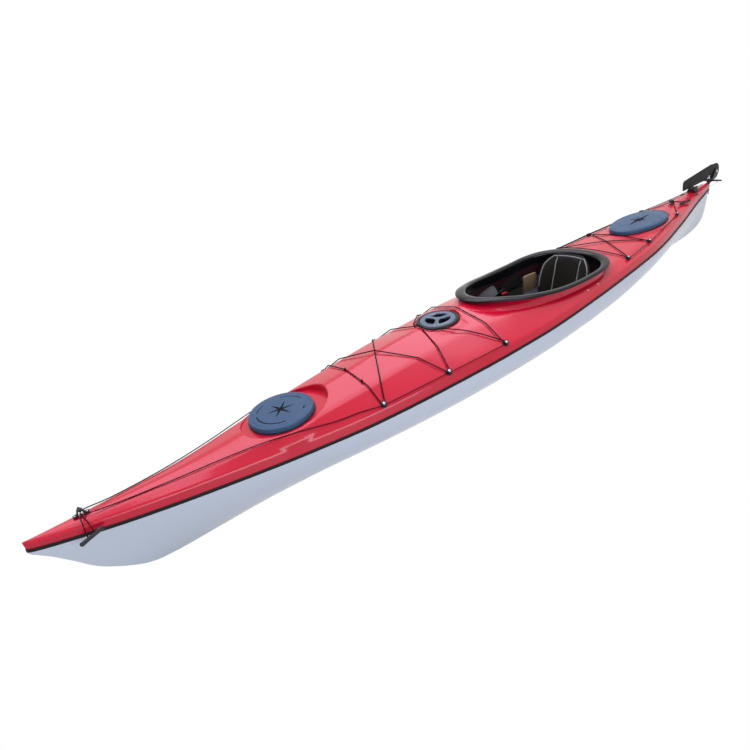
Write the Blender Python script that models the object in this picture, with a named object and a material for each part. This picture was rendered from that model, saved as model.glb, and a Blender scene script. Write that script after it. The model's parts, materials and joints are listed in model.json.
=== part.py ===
"""Composite touring kayak with hatches, deck cords, a padded seat and a flip-up rudder.

Metres. +X aft, +Y starboard, +Z up. The origin is on the floor under the middle of the boat.
"""
import math

import bmesh
import bpy
import numpy as np
from mathutils import Matrix, Vector

# Whole boat
BOW_X = -2.222
STERN_X = 2.086
LAMINATE = 0.004
JOINT_GAP = 0.0016          # bond line between the hull and the deck
CLEARANCE = 0.0005          # between neighbouring pieces

# Lines of the hull: distance from amidships, value, both in metres
HALF_BEAM = [(-2.222, .005), (-2.205, .012), (-2.150, .026), (-2.100, .036), (-1.900, .071), (-1.680, .112),
             (-1.280, .190), (-1.000, .241), (-.650, .282), (-.300, .309), (0, .318), (.350, .303),
             (.700, .274), (1.030, .238), (1.480, .148), (1.850, .062), (1.980, .038), (2.040, .026),
             (2.070, .017), (2.086, .006)]
SEAM_Z = [(-2.222, .318), (-2.100, .298), (-1.900, .268), (-1.680, .247), (-1.280, .225), (-1.000, .220),
          (-.300, .224), (.350, .234), (1.030, .246), (1.480, .266), (1.850, .293), (2.086, .317)]
KEEL_Z = [(-2.222, .300), (-2.205, .285), (-2.135, .199), (-2.085, .131), (-2.030, .083), (-1.990, .055),
          (-1.943, .029), (-1.900, .016), (-1.784, .006), (-1.500, 0), (.700, 0), (1.000, .012),
          (1.350, .033), (1.600, .048), (1.843, .060), (1.964, .080), (2.022, .103), (2.060, .140),
          (2.077, .180), (2.086, .240)]
KEEL_HALF_FLAT = [(-2.222, .0015), (-1.200, .002), (-.600, .030), (.600, .030), (1.100, .002), (2.086, .0015)]
BILGE_WIDTH_POWER = [(-2.222, 1.05), (-1.900, 1.10), (-1.280, 1.30), (-.300, 1.60), (.350, 1.60),
                     (1.030, 1.40), (1.850, 1.10), (2.086, 1.05)]
BILGE_DEPTH_POWER = [(-2.222, 1.30), (-1.900, 1.35), (-1.280, 2.00), (-.300, 2.60), (.350, 2.60),
                     (1.030, 2.20), (1.850, 1.50), (2.086, 1.30)]

# Lines of the deck
RIDGE_Z = [(-2.222, .352), (-2.100, .343), (-1.900, .331), (-1.680, .325), (-1.280, .341), (-1.000, .357),
           (-.650, .380), (-.300, .384), (0, .368), (.350, .330), (.700, .312), (1.030, .321),
           (1.480, .332), (1.850, .346), (2.086, .357)]
CREASE_Y = [(-2.222, .0025), (-2.100, .016), (-1.900, .036), (-1.680, .064), (-1.280, .132), (-1.000, .146),
            (-.650, .157), (-.300, .177), (0, .215), (.350, .226), (.700, .192), (1.030, .162),
            (1.250, .142), (1.480, .096), (1.850, .036), (2.086, .003)]
CREASE_Z = [(-2.222, .349), (-2.100, .339), (-1.900, .325), (-1.680, .314), (-1.280, .318), (-1.000, .331),
            (-.650, .346), (-.300, .345), (0, .318), (.350, .300), (.700, .300), (1.030, .306),
            (1.250, .311), (1.480, .322), (1.850, .338), (2.086, .354)]
EDGE_INSET = [(-2.222, .0015), (-2.100, .006), (-1.680, .010), (-.300, .013), (1.030, .012), (1.850, .008),
              (2.086, .0015)]
SIDE_STRIP = [(-2.222, .024), (-2.100, .030), (-1.680, .040), (-.650, .043), (0, .033), (.350, .033),
              (1.030, .042), (1.480, .042), (1.850, .038), (2.086, .031)]

# Inner faces start and end short of the stems, where the laminate is filled solid
INNER_BOW_X = -2.080
INNER_STERN_X = 1.985
KEEL_FILL = [(-2.222, .030), (-1.600, .022), (-1.000, .004), (1.000, .004), (1.600, .016), (2.086, .030)]

# Seam band
BAND_HALF_HEIGHT = 0.007
BAND_THICKNESS = 0.0022

# Cockpit: outer outline of the coaming lip, inner outline of the opening
COCKPIT_WIDE_X = 0.400
LIP_FRONT_X, LIP_REAR_X, LIP_HALF_WIDTH = -.2513, .7003, .264
OPEN_FRONT_X, OPEN_REAR_X, OPEN_HALF_WIDTH = -.1897, .6448, .227
FRONT_POWER, REAR_POWER = 2.4, 2.8
LIP_Z = [(-.300, .404), (-.180, .394), (-.090, .378), (.026, .360), (.140, .345), (.260, .336), (.380, .332),
         (.500, .332), (.600, .334), (.720, .337)]
COAMING_SEGMENTS = 40
COLLAR_TOP, DECK_OPENING_EDGE = .77, .90
COLLAR_FOOT = [(-.2513, -.42), (-.190, -.30), (-.119, -.10), (0, .22), (.130, .52), (.280, .64), (.7003, .68)]

# Hatches: centre, seat height, outer half-length and half-width of the lid, and of the moulded pad
FORE_HATCH = dict(x=-1.284, seat=.316, a=.133, b=.133, pad_x=-1.268, pad_a=.188, pad_b=.1395)
AFT_HATCH = dict(x=1.250, seat=.318, a=.226, b=.1325, pad_x=1.252, pad_a=.243, pad_b=.1395)
DAY_HATCH = dict(x=-.427, seat=.370, a=.102, b=.102, pad_x=-.427, pad_a=.106, pad_b=.106)
HATCH_SEGMENTS = 28
PAD_WALL, PAD_FLARE, PAD_DEPTH = .005, .030, .034

# Bulkheads
FORE_BULKHEAD_X, AFT_BULKHEAD_X, BULKHEAD_THICKNESS = -.985, .790, .010

# Deck fittings: distance along the boat and off its centre line
FITTINGS = {"fore_1": (-.952, .2243), "fore_2": (-.627, .260), "fore_3": (-.301, .285),
            "aft_1": (.765, .221), "aft_2": (1.027, .192), "aft_3": (1.474, .112)}
FITTING_STEM_R, FITTING_CAP_R, FITTING_HEIGHT = .0035, .0105, .0145
BUNGEE_D, LINE_D = .005, .004
BUNGEE_LEVEL, LINE_LEVEL = .0036, .0088

# Rudder
YAW_AXIS_X = 2.100
FLIP_AXIS = (2.1721, 0, .407)
BLADE_TIP_X = 1.757
YAW_ARM_Y = .066


def interpolator(points):
    """A smooth curve through the points that never overshoots them."""
    xs = np.array([p[0] for p in points], float)
    ys = np.array([p[1] for p in points], float)
    run = np.diff(xs)
    rise = np.diff(ys) / run
    slope = np.zeros_like(ys)
    slope[0], slope[-1] = rise[0], rise[-1]
    for i in range(1, len(xs) - 1):
        if rise[i - 1] * rise[i] > 0:
            w1 = 2 * run[i] + run[i - 1]
            w2 = run[i] + 2 * run[i - 1]
            slope[i] = (w1 + w2) / (w1 / rise[i - 1] + w2 / rise[i])

    def value(x):
        x = min(max(x, xs[0]), xs[-1])
        i = min(int(np.searchsorted(xs, x, side="right")) - 1, len(xs) - 2)
        t = (x - xs[i]) / run[i]
        h00 = (1 + 2 * t) * (1 - t) ** 2
        h10 = t * (1 - t) ** 2
        h01 = t * t * (3 - 2 * t)
        h11 = t * t * (t - 1)
        return float(h00 * ys[i] + h10 * run[i] * slope[i] + h01 * ys[i + 1] + h11 * run[i] * slope[i + 1])
    return value


half_beam = interpolator(HALF_BEAM)
seam_z = interpolator(SEAM_Z)
keel_z = interpolator(KEEL_Z)
keel_half_flat = interpolator(KEEL_HALF_FLAT)
width_power = interpolator(BILGE_WIDTH_POWER)
depth_power = interpolator(BILGE_DEPTH_POWER)
ridge_z = interpolator(RIDGE_Z)
crease_y = interpolator(CREASE_Y)
crease_z = interpolator(CREASE_Z)
edge_inset = interpolator(EDGE_INSET)
side_strip = interpolator(SIDE_STRIP)
keel_fill = interpolator(KEEL_FILL)
lip_z = interpolator(LIP_Z)
collar_foot = interpolator(COLLAR_FOOT)

# Stations along the hull: close together at the curved stems, wider amidships
BOW_STATIONS = [-2.222, -2.205, -2.180, -2.150, -2.120, -2.090, -2.060, -2.025, -1.990, -1.950, -1.900, -1.850]
STERN_STATIONS = [1.850, 1.920, 1.970, 2.015, 2.045, 2.065, 2.077, 2.086]
MID_STATIONS = [-1.750, -1.600, -1.456, -1.280, -1.100, -.952, -.790, -.627, -.460, -.301, -.120, .050, .220,
                .400, .580, .765, .900, 1.027, 1.200, 1.350, 1.474, 1.600, 1.740]
STATIONS = BOW_STATIONS + MID_STATIONS + STERN_STATIONS


def clear_scene():
    """Remove whatever the scene holds."""
    for item in list(bpy.data.objects):
        bpy.data.objects.remove(item, do_unlink=True)


def material(name, colour, roughness, metallic=0.0):
    """A Principled material of one colour, made once for each name."""
    found = bpy.data.materials.get(name)
    if found:
        return found
    made = bpy.data.materials.new(name)
    made.use_nodes = True
    shader = made.node_tree.nodes["Principled BSDF"]
    shader.inputs["Base Color"].default_value = (*colour, 1)
    shader.inputs["Roughness"].default_value = roughness
    shader.inputs["Metallic"].default_value = metallic
    made.diffuse_color = (*colour, 1)
    return made


WHITE_GELCOAT = ("white_gelcoat", (.80, .82, .86), .18)
RED_GELCOAT = ("red_gelcoat", (.62, .012, .018), .12)
BLACK_GELCOAT = ("black_gelcoat", (.012, .013, .016), .2)
BLACK_TAPE = ("black_seam_tape", (.008, .008, .008), .45)
GLASS_LAMINATE = ("glass_laminate", (.55, .57, .56), .5)
HATCH_RUBBER = ("hatch_rubber", (.045, .06, .075), .5)
BLACK_PLASTIC = ("black_nylon", (.012, .012, .013), .42)
RED_PLASTIC = ("red_plastic", (.45, .02, .02), .4)
SEAT_FABRIC = ("seat_fabric", (.018, .018, .022), .9)
FOAM = ("closed_cell_foam", (.05, .055, .06), .85)
SHOCK_CORD = ("shock_cord", (.014, .013, .015), .8)
ALUMINIUM = ("anodised_aluminium", (.05, .05, .055), .35, 1.0)
STEEL = ("stainless_steel", (.55, .56, .57), .25, 1.0)
POD_PLASTIC = ("pod_plastic", (.03, .03, .035), .6)


def add_object(name, data, finish=None):
    """Link an object to the scene with its finish."""
    made = bpy.data.objects.new(name, data)
    bpy.context.scene.collection.objects.link(made)
    if finish:
        data.materials.append(material(*finish))
    return made


def add_mesh(name, verts, faces, finish=None, smooth_angle=None):
    """A mesh object whose faces all point outwards."""
    mesh = bpy.data.meshes.new(name)
    mesh.from_pydata([tuple(v) for v in verts], [], faces)
    bm = bmesh.new()
    bm.from_mesh(mesh)
    bmesh.ops.remove_doubles(bm, verts=bm.verts, dist=1e-6)
    bmesh.ops.recalc_face_normals(bm, faces=bm.faces)
    bm.to_mesh(mesh)
    bm.free()
    if smooth_angle:
        mesh.shade_smooth()
        mesh.set_sharp_from_angle(angle=math.radians(smooth_angle))
    return add_object(name, mesh, finish)


def loft(rings, closed_path=False):
    """Vertices and faces of a skin over rings of equal count, capped at both ends unless the path closes."""
    count = len(rings[0])
    verts = [v for ring in rings for v in ring]
    faces = []
    pairs = len(rings) if closed_path else len(rings) - 1
    for i in range(pairs):
        a, b = i * count, ((i + 1) % len(rings)) * count
        for j in range(count):
            k = (j + 1) % count
            faces.append((a + j, a + k, b + k, b + j))
    if not closed_path:
        faces.append(tuple(range(count)))
        faces.append(tuple((len(rings) - 1) * count + j for j in range(count)))
    return verts, faces


def extrude_outline(outline, axis, low, high):
    """A straight prism of a 2-D outline along one axis: 'x', 'y' or 'z'."""
    order = {"x": lambda p, t: (t, p[0], p[1]), "y": lambda p, t: (p[0], t, p[1]), "z": lambda p, t: (p[0], p[1], t)}
    place = order[axis]
    return loft([[place(p, low) for p in outline], [place(p, high) for p in outline]])


def turned(profile, a=0.0, b=0.0, segments=HATCH_SEGMENTS, centre=(0, 0, 0)):
    """A body turned about +Z from an outline of (radius, height); a and b are added to the radius along X and Y."""
    rings = []
    for i in range(segments):
        angle = 2 * math.pi * i / segments
        c, s = math.cos(angle), math.sin(angle)
        rings.append([(centre[0] + (a + r) * c, centre[1] + (b + r) * s, centre[2] + z) for r, z in profile])
    return loft(rings, closed_path=True)


def ellipse_prism(cx, cy, a, b, low, high, segments=HATCH_SEGMENTS):
    """A prism with an elliptical plan."""
    angles = [2 * math.pi * i / segments for i in range(segments)]
    outline = [(cx + a * math.cos(t), cy + b * math.sin(t)) for t in angles]
    return extrude_outline(outline, "z", low, high)


def ellipse_ring(cx, a, b, z, segments=HATCH_SEGMENTS):
    """One elliptical loop of points."""
    angles = [2 * math.pi * i / segments for i in range(segments)]
    return [(cx + a * math.cos(t), b * math.sin(t), z) for t in angles]


def guide(name, shape):
    """A cutter or a guide body, which isn't part of the boat."""
    made = add_mesh(name, *shape)
    made.hide_render = True
    made.display_type = "WIRE"
    return made


def combine(target, operation, other):
    """Add a Boolean to the target."""
    step = target.modifiers.new(operation.lower(), "BOOLEAN")
    step.operation = operation
    step.solver = "EXACT"
    step.object = other


def smooth_points(route, spacing):
    """Points a set distance apart on a smooth curve through the route."""
    pts = [Vector(p) for p in route]
    ends = [2 * pts[0] - pts[1]] + pts + [2 * pts[-1] - pts[-2]]
    dense = []
    for i in range(1, len(ends) - 2):
        p0, p1, p2, p3 = ends[i - 1:i + 3]
        for k in range(16):
            t = k / 16
            dense.append(0.5 * ((2 * p1) + (p2 - p0) * t + (2 * p0 - 5 * p1 + 4 * p2 - p3) * t * t
                                + (3 * p1 - p0 - 3 * p2 + p3) * t ** 3))
    dense.append(pts[-1])
    lengths = [0.0]
    for a, b in zip(dense, dense[1:]):
        lengths.append(lengths[-1] + (b - a).length)
    count = max(2, round(lengths[-1] / spacing) + 1)
    picked = []
    for d in np.linspace(0, lengths[-1], count):
        i = min(int(np.searchsorted(lengths, d, side="right")) - 1, len(dense) - 2)
        part = (d - lengths[i]) / max(lengths[i + 1] - lengths[i], 1e-9)
        picked.append(dense[i].lerp(dense[i + 1], part))
    return picked


def add_tube(name, points, diameter, finish):
    """A round cord as a bevelled curve with filled ends."""
    curve = bpy.data.curves.new(name, "CURVE")
    curve.dimensions = "3D"
    curve.bevel_depth = diameter / 2
    curve.bevel_resolution = 1
    curve.use_fill_caps = True
    line = curve.splines.new("POLY")
    line.points.add(len(points) - 1)
    for point, place in zip(line.points, points):
        point.co = (*place, 1)
    return add_object(name, curve, finish)


def hull_section(x, skin=0.0, fill=0.0, segments=6):
    """Half section of the hull at x, from the seam down to the flat of the keel."""
    b = half_beam(x) - skin
    top = seam_z(x) - JOINT_GAP / 2
    bottom = keel_z(x) + fill
    flat = min(keel_half_flat(x), b * .5)
    points = []
    for i in range(segments + 1):
        angle = math.pi / 2 * i / segments
        y = flat + (b - flat) * math.cos(angle) ** (2 / width_power(x))
        depth = math.sin(angle) ** (2 / depth_power(x))
        points.append((x, y, top + (bottom - top) * depth))
    points[-1] = (x, flat, bottom)
    return points


def inner_station(x):
    """The station of the inner face that matches a station of the outer face."""
    part = (x - BOW_X) / (STERN_X - BOW_X)
    return INNER_BOW_X + part * (INNER_STERN_X - INNER_BOW_X)


def mirrored(half):
    """A whole section from the starboard seam round to the port seam."""
    return half + [(x, -y, z) for x, y, z in reversed(half)]


def make_hull():
    """Hull laminate: outer skin, inner skin and the rim that joins them at the seam."""
    outer = [mirrored(hull_section(x)) for x in STATIONS]
    inner = []
    for x in STATIONS:
        xi = inner_station(x)
        inner.append(mirrored(hull_section(xi, skin=LAMINATE, fill=keel_fill(xi))))
    rings = len(outer)
    count = len(outer[0])
    verts = [v for ring in outer for v in ring] + [v for ring in inner for v in ring]
    start = rings * count
    faces = []
    for i in range(rings - 1):
        for j in range(count - 1):
            a = i * count + j
            faces.append((a, a + 1, a + count + 1, a + count))
            b = start + a
            faces.append((b, b + count, b + count + 1, b + 1))
        for j in (0, count - 1):
            a = i * count + j
            faces.append((a, a + count, start + a + count, start + a))
    for ring in (0, rings - 1):
        base = ring * count
        faces.append(tuple(base + j for j in range(count)))
        faces.append(tuple(start + base + j for j in range(count)))
        faces.append((base, base + count - 1, start + base + count - 1, start + base))
    return add_mesh("hull_shell", verts, faces, WHITE_GELCOAT, smooth_angle=40)


def deck_section(x, skin=0.0):
    """Half section of the deck at x, from the seam up over the edge and the crease to the ridge."""
    b = half_beam(x)
    edge = b - edge_inset(x)
    crease = min(crease_y(x), edge * .96)
    mid_z = (ridge_z(x) * .55 + crease_z(x) * .45)
    return [(x, b - skin, seam_z(x) + JOINT_GAP / 2),
            (x, edge - skin, seam_z(x) + side_strip(x) - skin * .7),
            (x, crease, crease_z(x) - skin),
            (x, crease * .5, mid_z - skin),
            (x, 0, ridge_z(x) - skin)]


def deck_height(x, y):
    """Height of the deck's outer face, read between the stations that the deck is drawn through."""
    i = min(max(int(np.searchsorted(STATIONS, x, side="right")) - 1, 0), len(STATIONS) - 2)
    part = min(max((x - STATIONS[i]) / (STATIONS[i + 1] - STATIONS[i]), 0), 1)
    half = [Vector(p).lerp(Vector(q), part)
            for p, q in zip(deck_section(STATIONS[i]), deck_section(STATIONS[i + 1]))]
    ys = [p[1] for p in reversed(half)]
    zs = [p[2] for p in reversed(half)]
    return float(np.interp(abs(y), ys, zs))


def pad_height(x, y):
    """Height of the deck with its hatch pads."""
    z = deck_height(x, y)
    for hatch in (FORE_HATCH, AFT_HATCH, DAY_HATCH):
        reach = math.hypot((x - hatch["pad_x"]) / hatch["pad_a"], y / hatch["pad_b"])
        if reach < 1.35:
            outside = (reach - 1) * hatch["pad_b"] - PAD_WALL
            z = max(z, hatch["seat"] - max(0, outside) * PAD_DEPTH / PAD_FLARE)
    return z


def top_height(x, y, reach=.005):
    """Highest point of the deck close to a place, so that a cord lies on it and not in it."""
    spots = [(0, 0), (reach, 0), (-reach, 0), (0, reach), (0, -reach)]
    return max(pad_height(x + dx, y + dy) for dx, dy in spots)


def deck_solid(name, skin, bottom_drop, inner):
    """A closed body under the deck's outer or inner face."""
    rings = []
    for x in STATIONS:
        at = inner_station(x) if inner else x
        half = deck_section(at, skin)
        drop = [(at, half[0][1], half[0][2] - bottom_drop)] if bottom_drop else []
        half = drop + half
        rings.append(half + [(px, -py, pz) for px, py, pz in reversed(half[:-1])])
    return add_mesh(name, *loft(rings))


def outline_point(angle, blend):
    """Plan of the coaming: blend 0 is the lip's outer edge and 1 is the opening's edge."""
    c, s = math.cos(angle), math.sin(angle)
    power = REAR_POWER if c > 0 else FRONT_POWER
    along = math.copysign(abs(c) ** (2 / power), c)
    outer_run = (LIP_REAR_X if c > 0 else -LIP_FRONT_X + 2 * COCKPIT_WIDE_X) - COCKPIT_WIDE_X
    inner_run = (OPEN_REAR_X if c > 0 else -OPEN_FRONT_X + 2 * COCKPIT_WIDE_X) - COCKPIT_WIDE_X
    outer = (COCKPIT_WIDE_X + outer_run * along, LIP_HALF_WIDTH * s)
    inner = (COCKPIT_WIDE_X + inner_run * along, OPEN_HALF_WIDTH * s)
    return (outer[0] + (inner[0] - outer[0]) * blend, outer[1] + (inner[1] - outer[1]) * blend)


def outline_angles(segments=COAMING_SEGMENTS):
    """Angles that space the points evenly round the coaming."""
    dense = [2 * math.pi * i / 720 for i in range(721)]
    plan = [outline_point(t, 0) for t in dense]
    run = [0.0]
    for p, q in zip(plan, plan[1:]):
        run.append(run[-1] + math.dist(p, q))
    return [float(np.interp(run[-1] * i / segments, run, dense)) for i in range(segments)]


def cockpit_ring(blend, drop, flat_z=None):
    """A loop round the cockpit, at a drop below the lip's line or at one height."""
    ring = []
    for angle in outline_angles():
        x, y = outline_point(angle, blend)
        lip_x = outline_point(angle, 0)[0]
        ring.append((x, y, lip_z(lip_x) - drop if flat_z is None else flat_z))
    return ring


def collar_ring(flat_z=None):
    """Foot of the collar on the deck: far ahead of the cockpit's front, and close in beside and behind it."""
    ring = []
    for angle in outline_angles():
        lip_x = outline_point(angle, 0)[0]
        x, y = outline_point(angle, collar_foot(lip_x))
        on_deck = min(deck_height(x, y), lip_z(lip_x) - .0105) - .0015
        ring.append((x, y, on_deck if flat_z is None else flat_z))
    return ring


def make_deck():
    """Deck laminate with the cockpit collar, the hatch pads, their openings and the cable exits."""
    deck = deck_solid("deck_shell", 0.0, 0.0, inner=False)
    deck.data.materials.append(material(*RED_GELCOAT))
    collar = guide("collar_guide", loft([cockpit_ring(DECK_OPENING_EDGE + .08, .0085),
                                         cockpit_ring(COLLAR_TOP, .0085), collar_ring(), collar_ring(.240)]))
    combine(deck, "UNION", collar)
    cavity = deck_solid("deck_cavity_guide", LAMINATE, .030, inner=True)
    cavity.hide_render = True
    cavity.display_type = "WIRE"
    for label, hatch in (("fore", FORE_HATCH), ("aft", AFT_HATCH), ("day", DAY_HATCH)):
        x, a, b, seat = hatch["pad_x"], hatch["pad_a"], hatch["pad_b"], hatch["seat"]
        top = ellipse_ring(x, a + PAD_WALL, b + PAD_WALL, seat - .0005)
        foot = ellipse_ring(x, a + PAD_WALL + PAD_FLARE, b + PAD_WALL + PAD_FLARE, seat - .0005 - PAD_DEPTH)
        combine(deck, "UNION", guide(label + "_pad_guide", loft([foot, top])))
        block = ellipse_prism(x, 0, a + LAMINATE, b + LAMINATE, seat - LAMINATE, seat + .2)
        combine(cavity, "DIFFERENCE", guide(label + "_block_guide", block))
        hollow = ellipse_prism(x, 0, a, b, seat - .045, seat - LAMINATE)
        combine(cavity, "UNION", guide(label + "_hollow_guide", hollow))
    combine(deck, "DIFFERENCE", cavity)
    for label, hatch in (("fore", FORE_HATCH), ("aft", AFT_HATCH), ("day", DAY_HATCH)):
        recess = ellipse_prism(hatch["pad_x"], 0, hatch["pad_a"], hatch["pad_b"], hatch["seat"], hatch["seat"] + .1)
        combine(deck, "DIFFERENCE", guide(label + "_recess_guide", recess))
        inset = .0165 if label != "day" else .024
        opening = ellipse_prism(hatch["x"], 0, hatch["a"] - inset, hatch["b"] - inset, .200, hatch["seat"] + .01)
        combine(deck, "DIFFERENCE", guide(label + "_opening_guide", opening))
    cockpit = loft([cockpit_ring(DECK_OPENING_EDGE, 0, .150), cockpit_ring(DECK_OPENING_EDGE, 0, .450)])
    combine(deck, "DIFFERENCE", guide("cockpit_opening_guide", cockpit))
    for side in (-1, 1):
        start, end = Vector(WIRE_START), Vector(WIRE_END)
        start.y, end.y = side * start.y, side * end.y
        hole = bore_along(start.lerp(end, .02), start.lerp(end, .24), .0024, 0)
        combine(deck, "DIFFERENCE", guide("cable_exit_guide_%s" % SIDE_NAME[side], hole))
    return deck


SIDE_NAME = {-1: "port", 1: "starboard"}


def bore_along(start, end, radius, spare):
    """A round prism along a line, a little longer than the line."""
    start, end = Vector(start), Vector(end)
    way = (end - start).normalized()
    start, end = start - way * spare, end + way * spare
    side = way.orthogonal().normalized()
    up = way.cross(side)
    rings = []
    for centre in (start, end):
        angles = [2 * math.pi * i / 12 for i in range(12)]
        rings.append([tuple(centre + side * radius * math.cos(t) + up * radius * math.sin(t)) for t in angles])
    return loft(rings)


def make_seam_band():
    """Black band round the joint, proud of both skins."""
    plan = []
    for x in STATIONS:
        plan.append((x, half_beam(x)))
    loop = plan + [(x, -y) for x, y in reversed(plan)]
    rings = []
    for i, (x, y) in enumerate(loop):
        before, after = loop[i - 1], loop[(i + 1) % len(loop)]
        way = Vector((after[0] - before[0], after[1] - before[1])).normalized()
        out = Vector((-way.y, way.x))
        if out.dot(Vector((x, y * 8))) < 0:
            out = -out
        ring = []
        z = seam_z(x)
        for gap, dz in ((.0008, -1), (.0008 + BAND_THICKNESS, -.7), (.0008 + BAND_THICKNESS, .7), (.0008, 1)):
            ring.append((x + out.x * gap, y + out.y * gap, z + dz * BAND_HALF_HEIGHT))
        rings.append(ring)
    return add_mesh("seam_band", *loft(rings, closed_path=True), BLACK_TAPE)


def make_coaming():
    """Cockpit coaming: a rolled lip over the deck's collar and a wall down through the opening."""
    profile = [(0, .0040), (-.01, -.0010), (.10, -.005), (.45, -.007), (.88, -.003), (1.0, .004), (1.0, .050),
               (.925, .050), (.925, .0075), (.74, .0075), (.66, .0005), (.12, .0005)]
    rings = []
    for angle in outline_angles():
        lip_x = outline_point(angle, 0)[0]
        rings.append([(*outline_point(angle, blend), lip_z(lip_x) - drop) for blend, drop in profile])
    return add_mesh("cockpit_coaming", *loft(rings, closed_path=True), BLACK_GELCOAT, smooth_angle=50)


def make_bulkhead(name, x, finish, holes=()):
    """A plate across the boat that fits inside the hull and the deck."""
    slack = .0022
    rings = []
    for at in (x - BULKHEAD_THICKNESS / 2, x + BULKHEAD_THICKNESS / 2):
        hull = hull_section(at, skin=LAMINATE + slack, fill=keel_fill(at) + slack)
        deck = deck_section(at, LAMINATE + slack)
        half = list(reversed(hull)) + deck[1:]
        rings.append([(at, y, z) for _, y, z in half] + [(at, -y, z) for _, y, z in reversed(half[:-1])])
    plate = add_mesh(name, *loft(rings), finish)
    for i, (y, z) in enumerate(holes):
        hole = bore_along((x - .02, y, z), (x + .02, y, z), .0032, .01)
        combine(plate, "DIFFERENCE", guide("%s_hole_guide_%d" % (name, i), hole))
    return plate


def make_hatch(label, hatch):
    """Bonded rim and pull-off rubber lid of an oval or round hatch; the lid's origin is on its lift axis."""
    centre = (hatch["x"], 0, hatch["seat"])
    a, b = hatch["a"], hatch["b"]
    rim = [(-.0205, -.012), (-.0175, -.012), (-.0175, CLEARANCE), (.003, CLEARANCE), (.003, .0035),
           (-.0065, .0035), (-.0065, .0190), (-.0115, .0190), (-.0205, .0020)]
    add_mesh(label + "_hatch_rim", *turned(rim, a, b, centre=centre), BLACK_PLASTIC, smooth_angle=35)
    skirt = [(-.0055, .0200), (-.0055, .0042), (0, .0042), (0, .0200), (-.0040, .0250), (-.0130, .0245),
             (-.0190, .0262)]
    rings = []
    for r, z in skirt:
        ring = []
        for i in range(HATCH_SEGMENTS):
            t = 2 * math.pi * i / HATCH_SEGMENTS
            ring.append(((a + r) * math.cos(t), (b + r) * math.sin(t), z))
        rings.append(ring)
    crown = [(.4 * x, .4 * y, .0280) for x, y, _ in rings[-1]]
    lid = add_mesh(label + "_hatch_lid", *loft(rings + [crown]), HATCH_RUBBER, smooth_angle=35)
    lid.location = centre
    return lid


def make_day_hatch():
    """Screw-in day hatch: bezel, lid with a three-armed grip, and the pod that hangs under it."""
    hatch = DAY_HATCH
    centre = (hatch["x"], 0, hatch["seat"])
    bezel = [(.0745, -.022), (.0775, -.022), (.0775, CLEARANCE), (.102, CLEARANCE), (.102, .004), (.097, .0100),
             (.0855, .0100), (.0855, .0035), (.0745, .0035)]
    add_mesh("day_hatch_rim", *turned(bezel, centre=centre, segments=28), BLACK_PLASTIC, smooth_angle=35)
    outline = [(.0700, .0020), (.0700, -.0120), (.0735, -.0120), (.0735, .0042), (.0845, .0042), (.0845, .0085),
               (.0780, .0095), (.0700, .0062)]
    rings = []
    for r, z in outline:
        angles = [2 * math.pi * i / 28 for i in range(28)]
        rings.append([(r * math.cos(t), r * math.sin(t), z) for t in angles])
    lid = add_mesh("day_hatch_lid", *loft(rings), HATCH_RUBBER, smooth_angle=35)
    lid.location = centre
    arm_length, arm_width, arm_top = .066, .016, .0125
    for i in range(3):
        turn = math.radians(90 + 120 * i)
        way, side = Vector((math.cos(turn), math.sin(turn))), Vector((-math.sin(turn), math.cos(turn)))
        corners = [way * -.004 + side * arm_width / 2, way * arm_length + side * arm_width * .35,
                   way * arm_length - side * arm_width * .35, way * -.004 - side * arm_width / 2]
        arm = guide("day_lid_arm_guide_%d" % i, extrude_outline([tuple(c) for c in corners], "z", .003, arm_top))
        arm.location = centre
        combine(lid, "UNION", arm)
    wall = [(.066, -.1300), (.086, -.105), (.088, -.0052), (.0795, -.0052), (.0795, -.0075), (.0855, -.0075),
            (.0835, -.104), (.065, -.1275)]
    rings = []
    for r, z in wall:
        angles = [2 * math.pi * i / 28 for i in range(28)]
        rings.append([(centre[0] + r * math.cos(t), r * math.sin(t), centre[2] + z) for t in angles])
    add_mesh("day_hatch_pod", *loft(rings), POD_PLASTIC, smooth_angle=35)


def surface_frame(x, y, lift):
    """Place and tilt of something that stands on the deck."""
    step = .012
    inboard = y - math.copysign(step, y)
    dz_dy = (deck_height(x, y) - deck_height(x, inboard)) / (y - inboard)
    dz_dx = (deck_height(x + step, y) - deck_height(x - step, y)) / (2 * step)
    up = Vector((-dz_dx, -dz_dy, 1)).normalized()
    along = (Vector((1, 0, 0)) - up * up.x).normalized()
    across = up.cross(along)
    turn = Matrix((along, across, up)).transposed().to_4x4()
    place = Vector((x, y, deck_height(x, y))) + up * lift
    return Matrix.Translation(place) @ turn


def make_fitting(name, x, y):
    """Mushroom fitting: a foot, a stem that the cords pass, and a cap with its screw."""
    foot_r, stem_r, cap_r, top = .0085, FITTING_STEM_R, FITTING_CAP_R, FITTING_HEIGHT
    outline = [(foot_r, 0), (stem_r, .0012), (stem_r, top - .0030), (cap_r, top - .0030),
               (cap_r, top - .0012), (.0070, top), (.0045, top + .0012)]
    rings = []
    for r, z in outline:
        angles = [2 * math.pi * i / 8 for i in range(8)]
        rings.append([(r * math.cos(t), r * math.sin(t), z) for t in angles])
    made = add_mesh(name, *loft(rings), BLACK_PLASTIC, smooth_angle=40)
    made.matrix_world = surface_frame(x, y, .0012)
    return made


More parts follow.
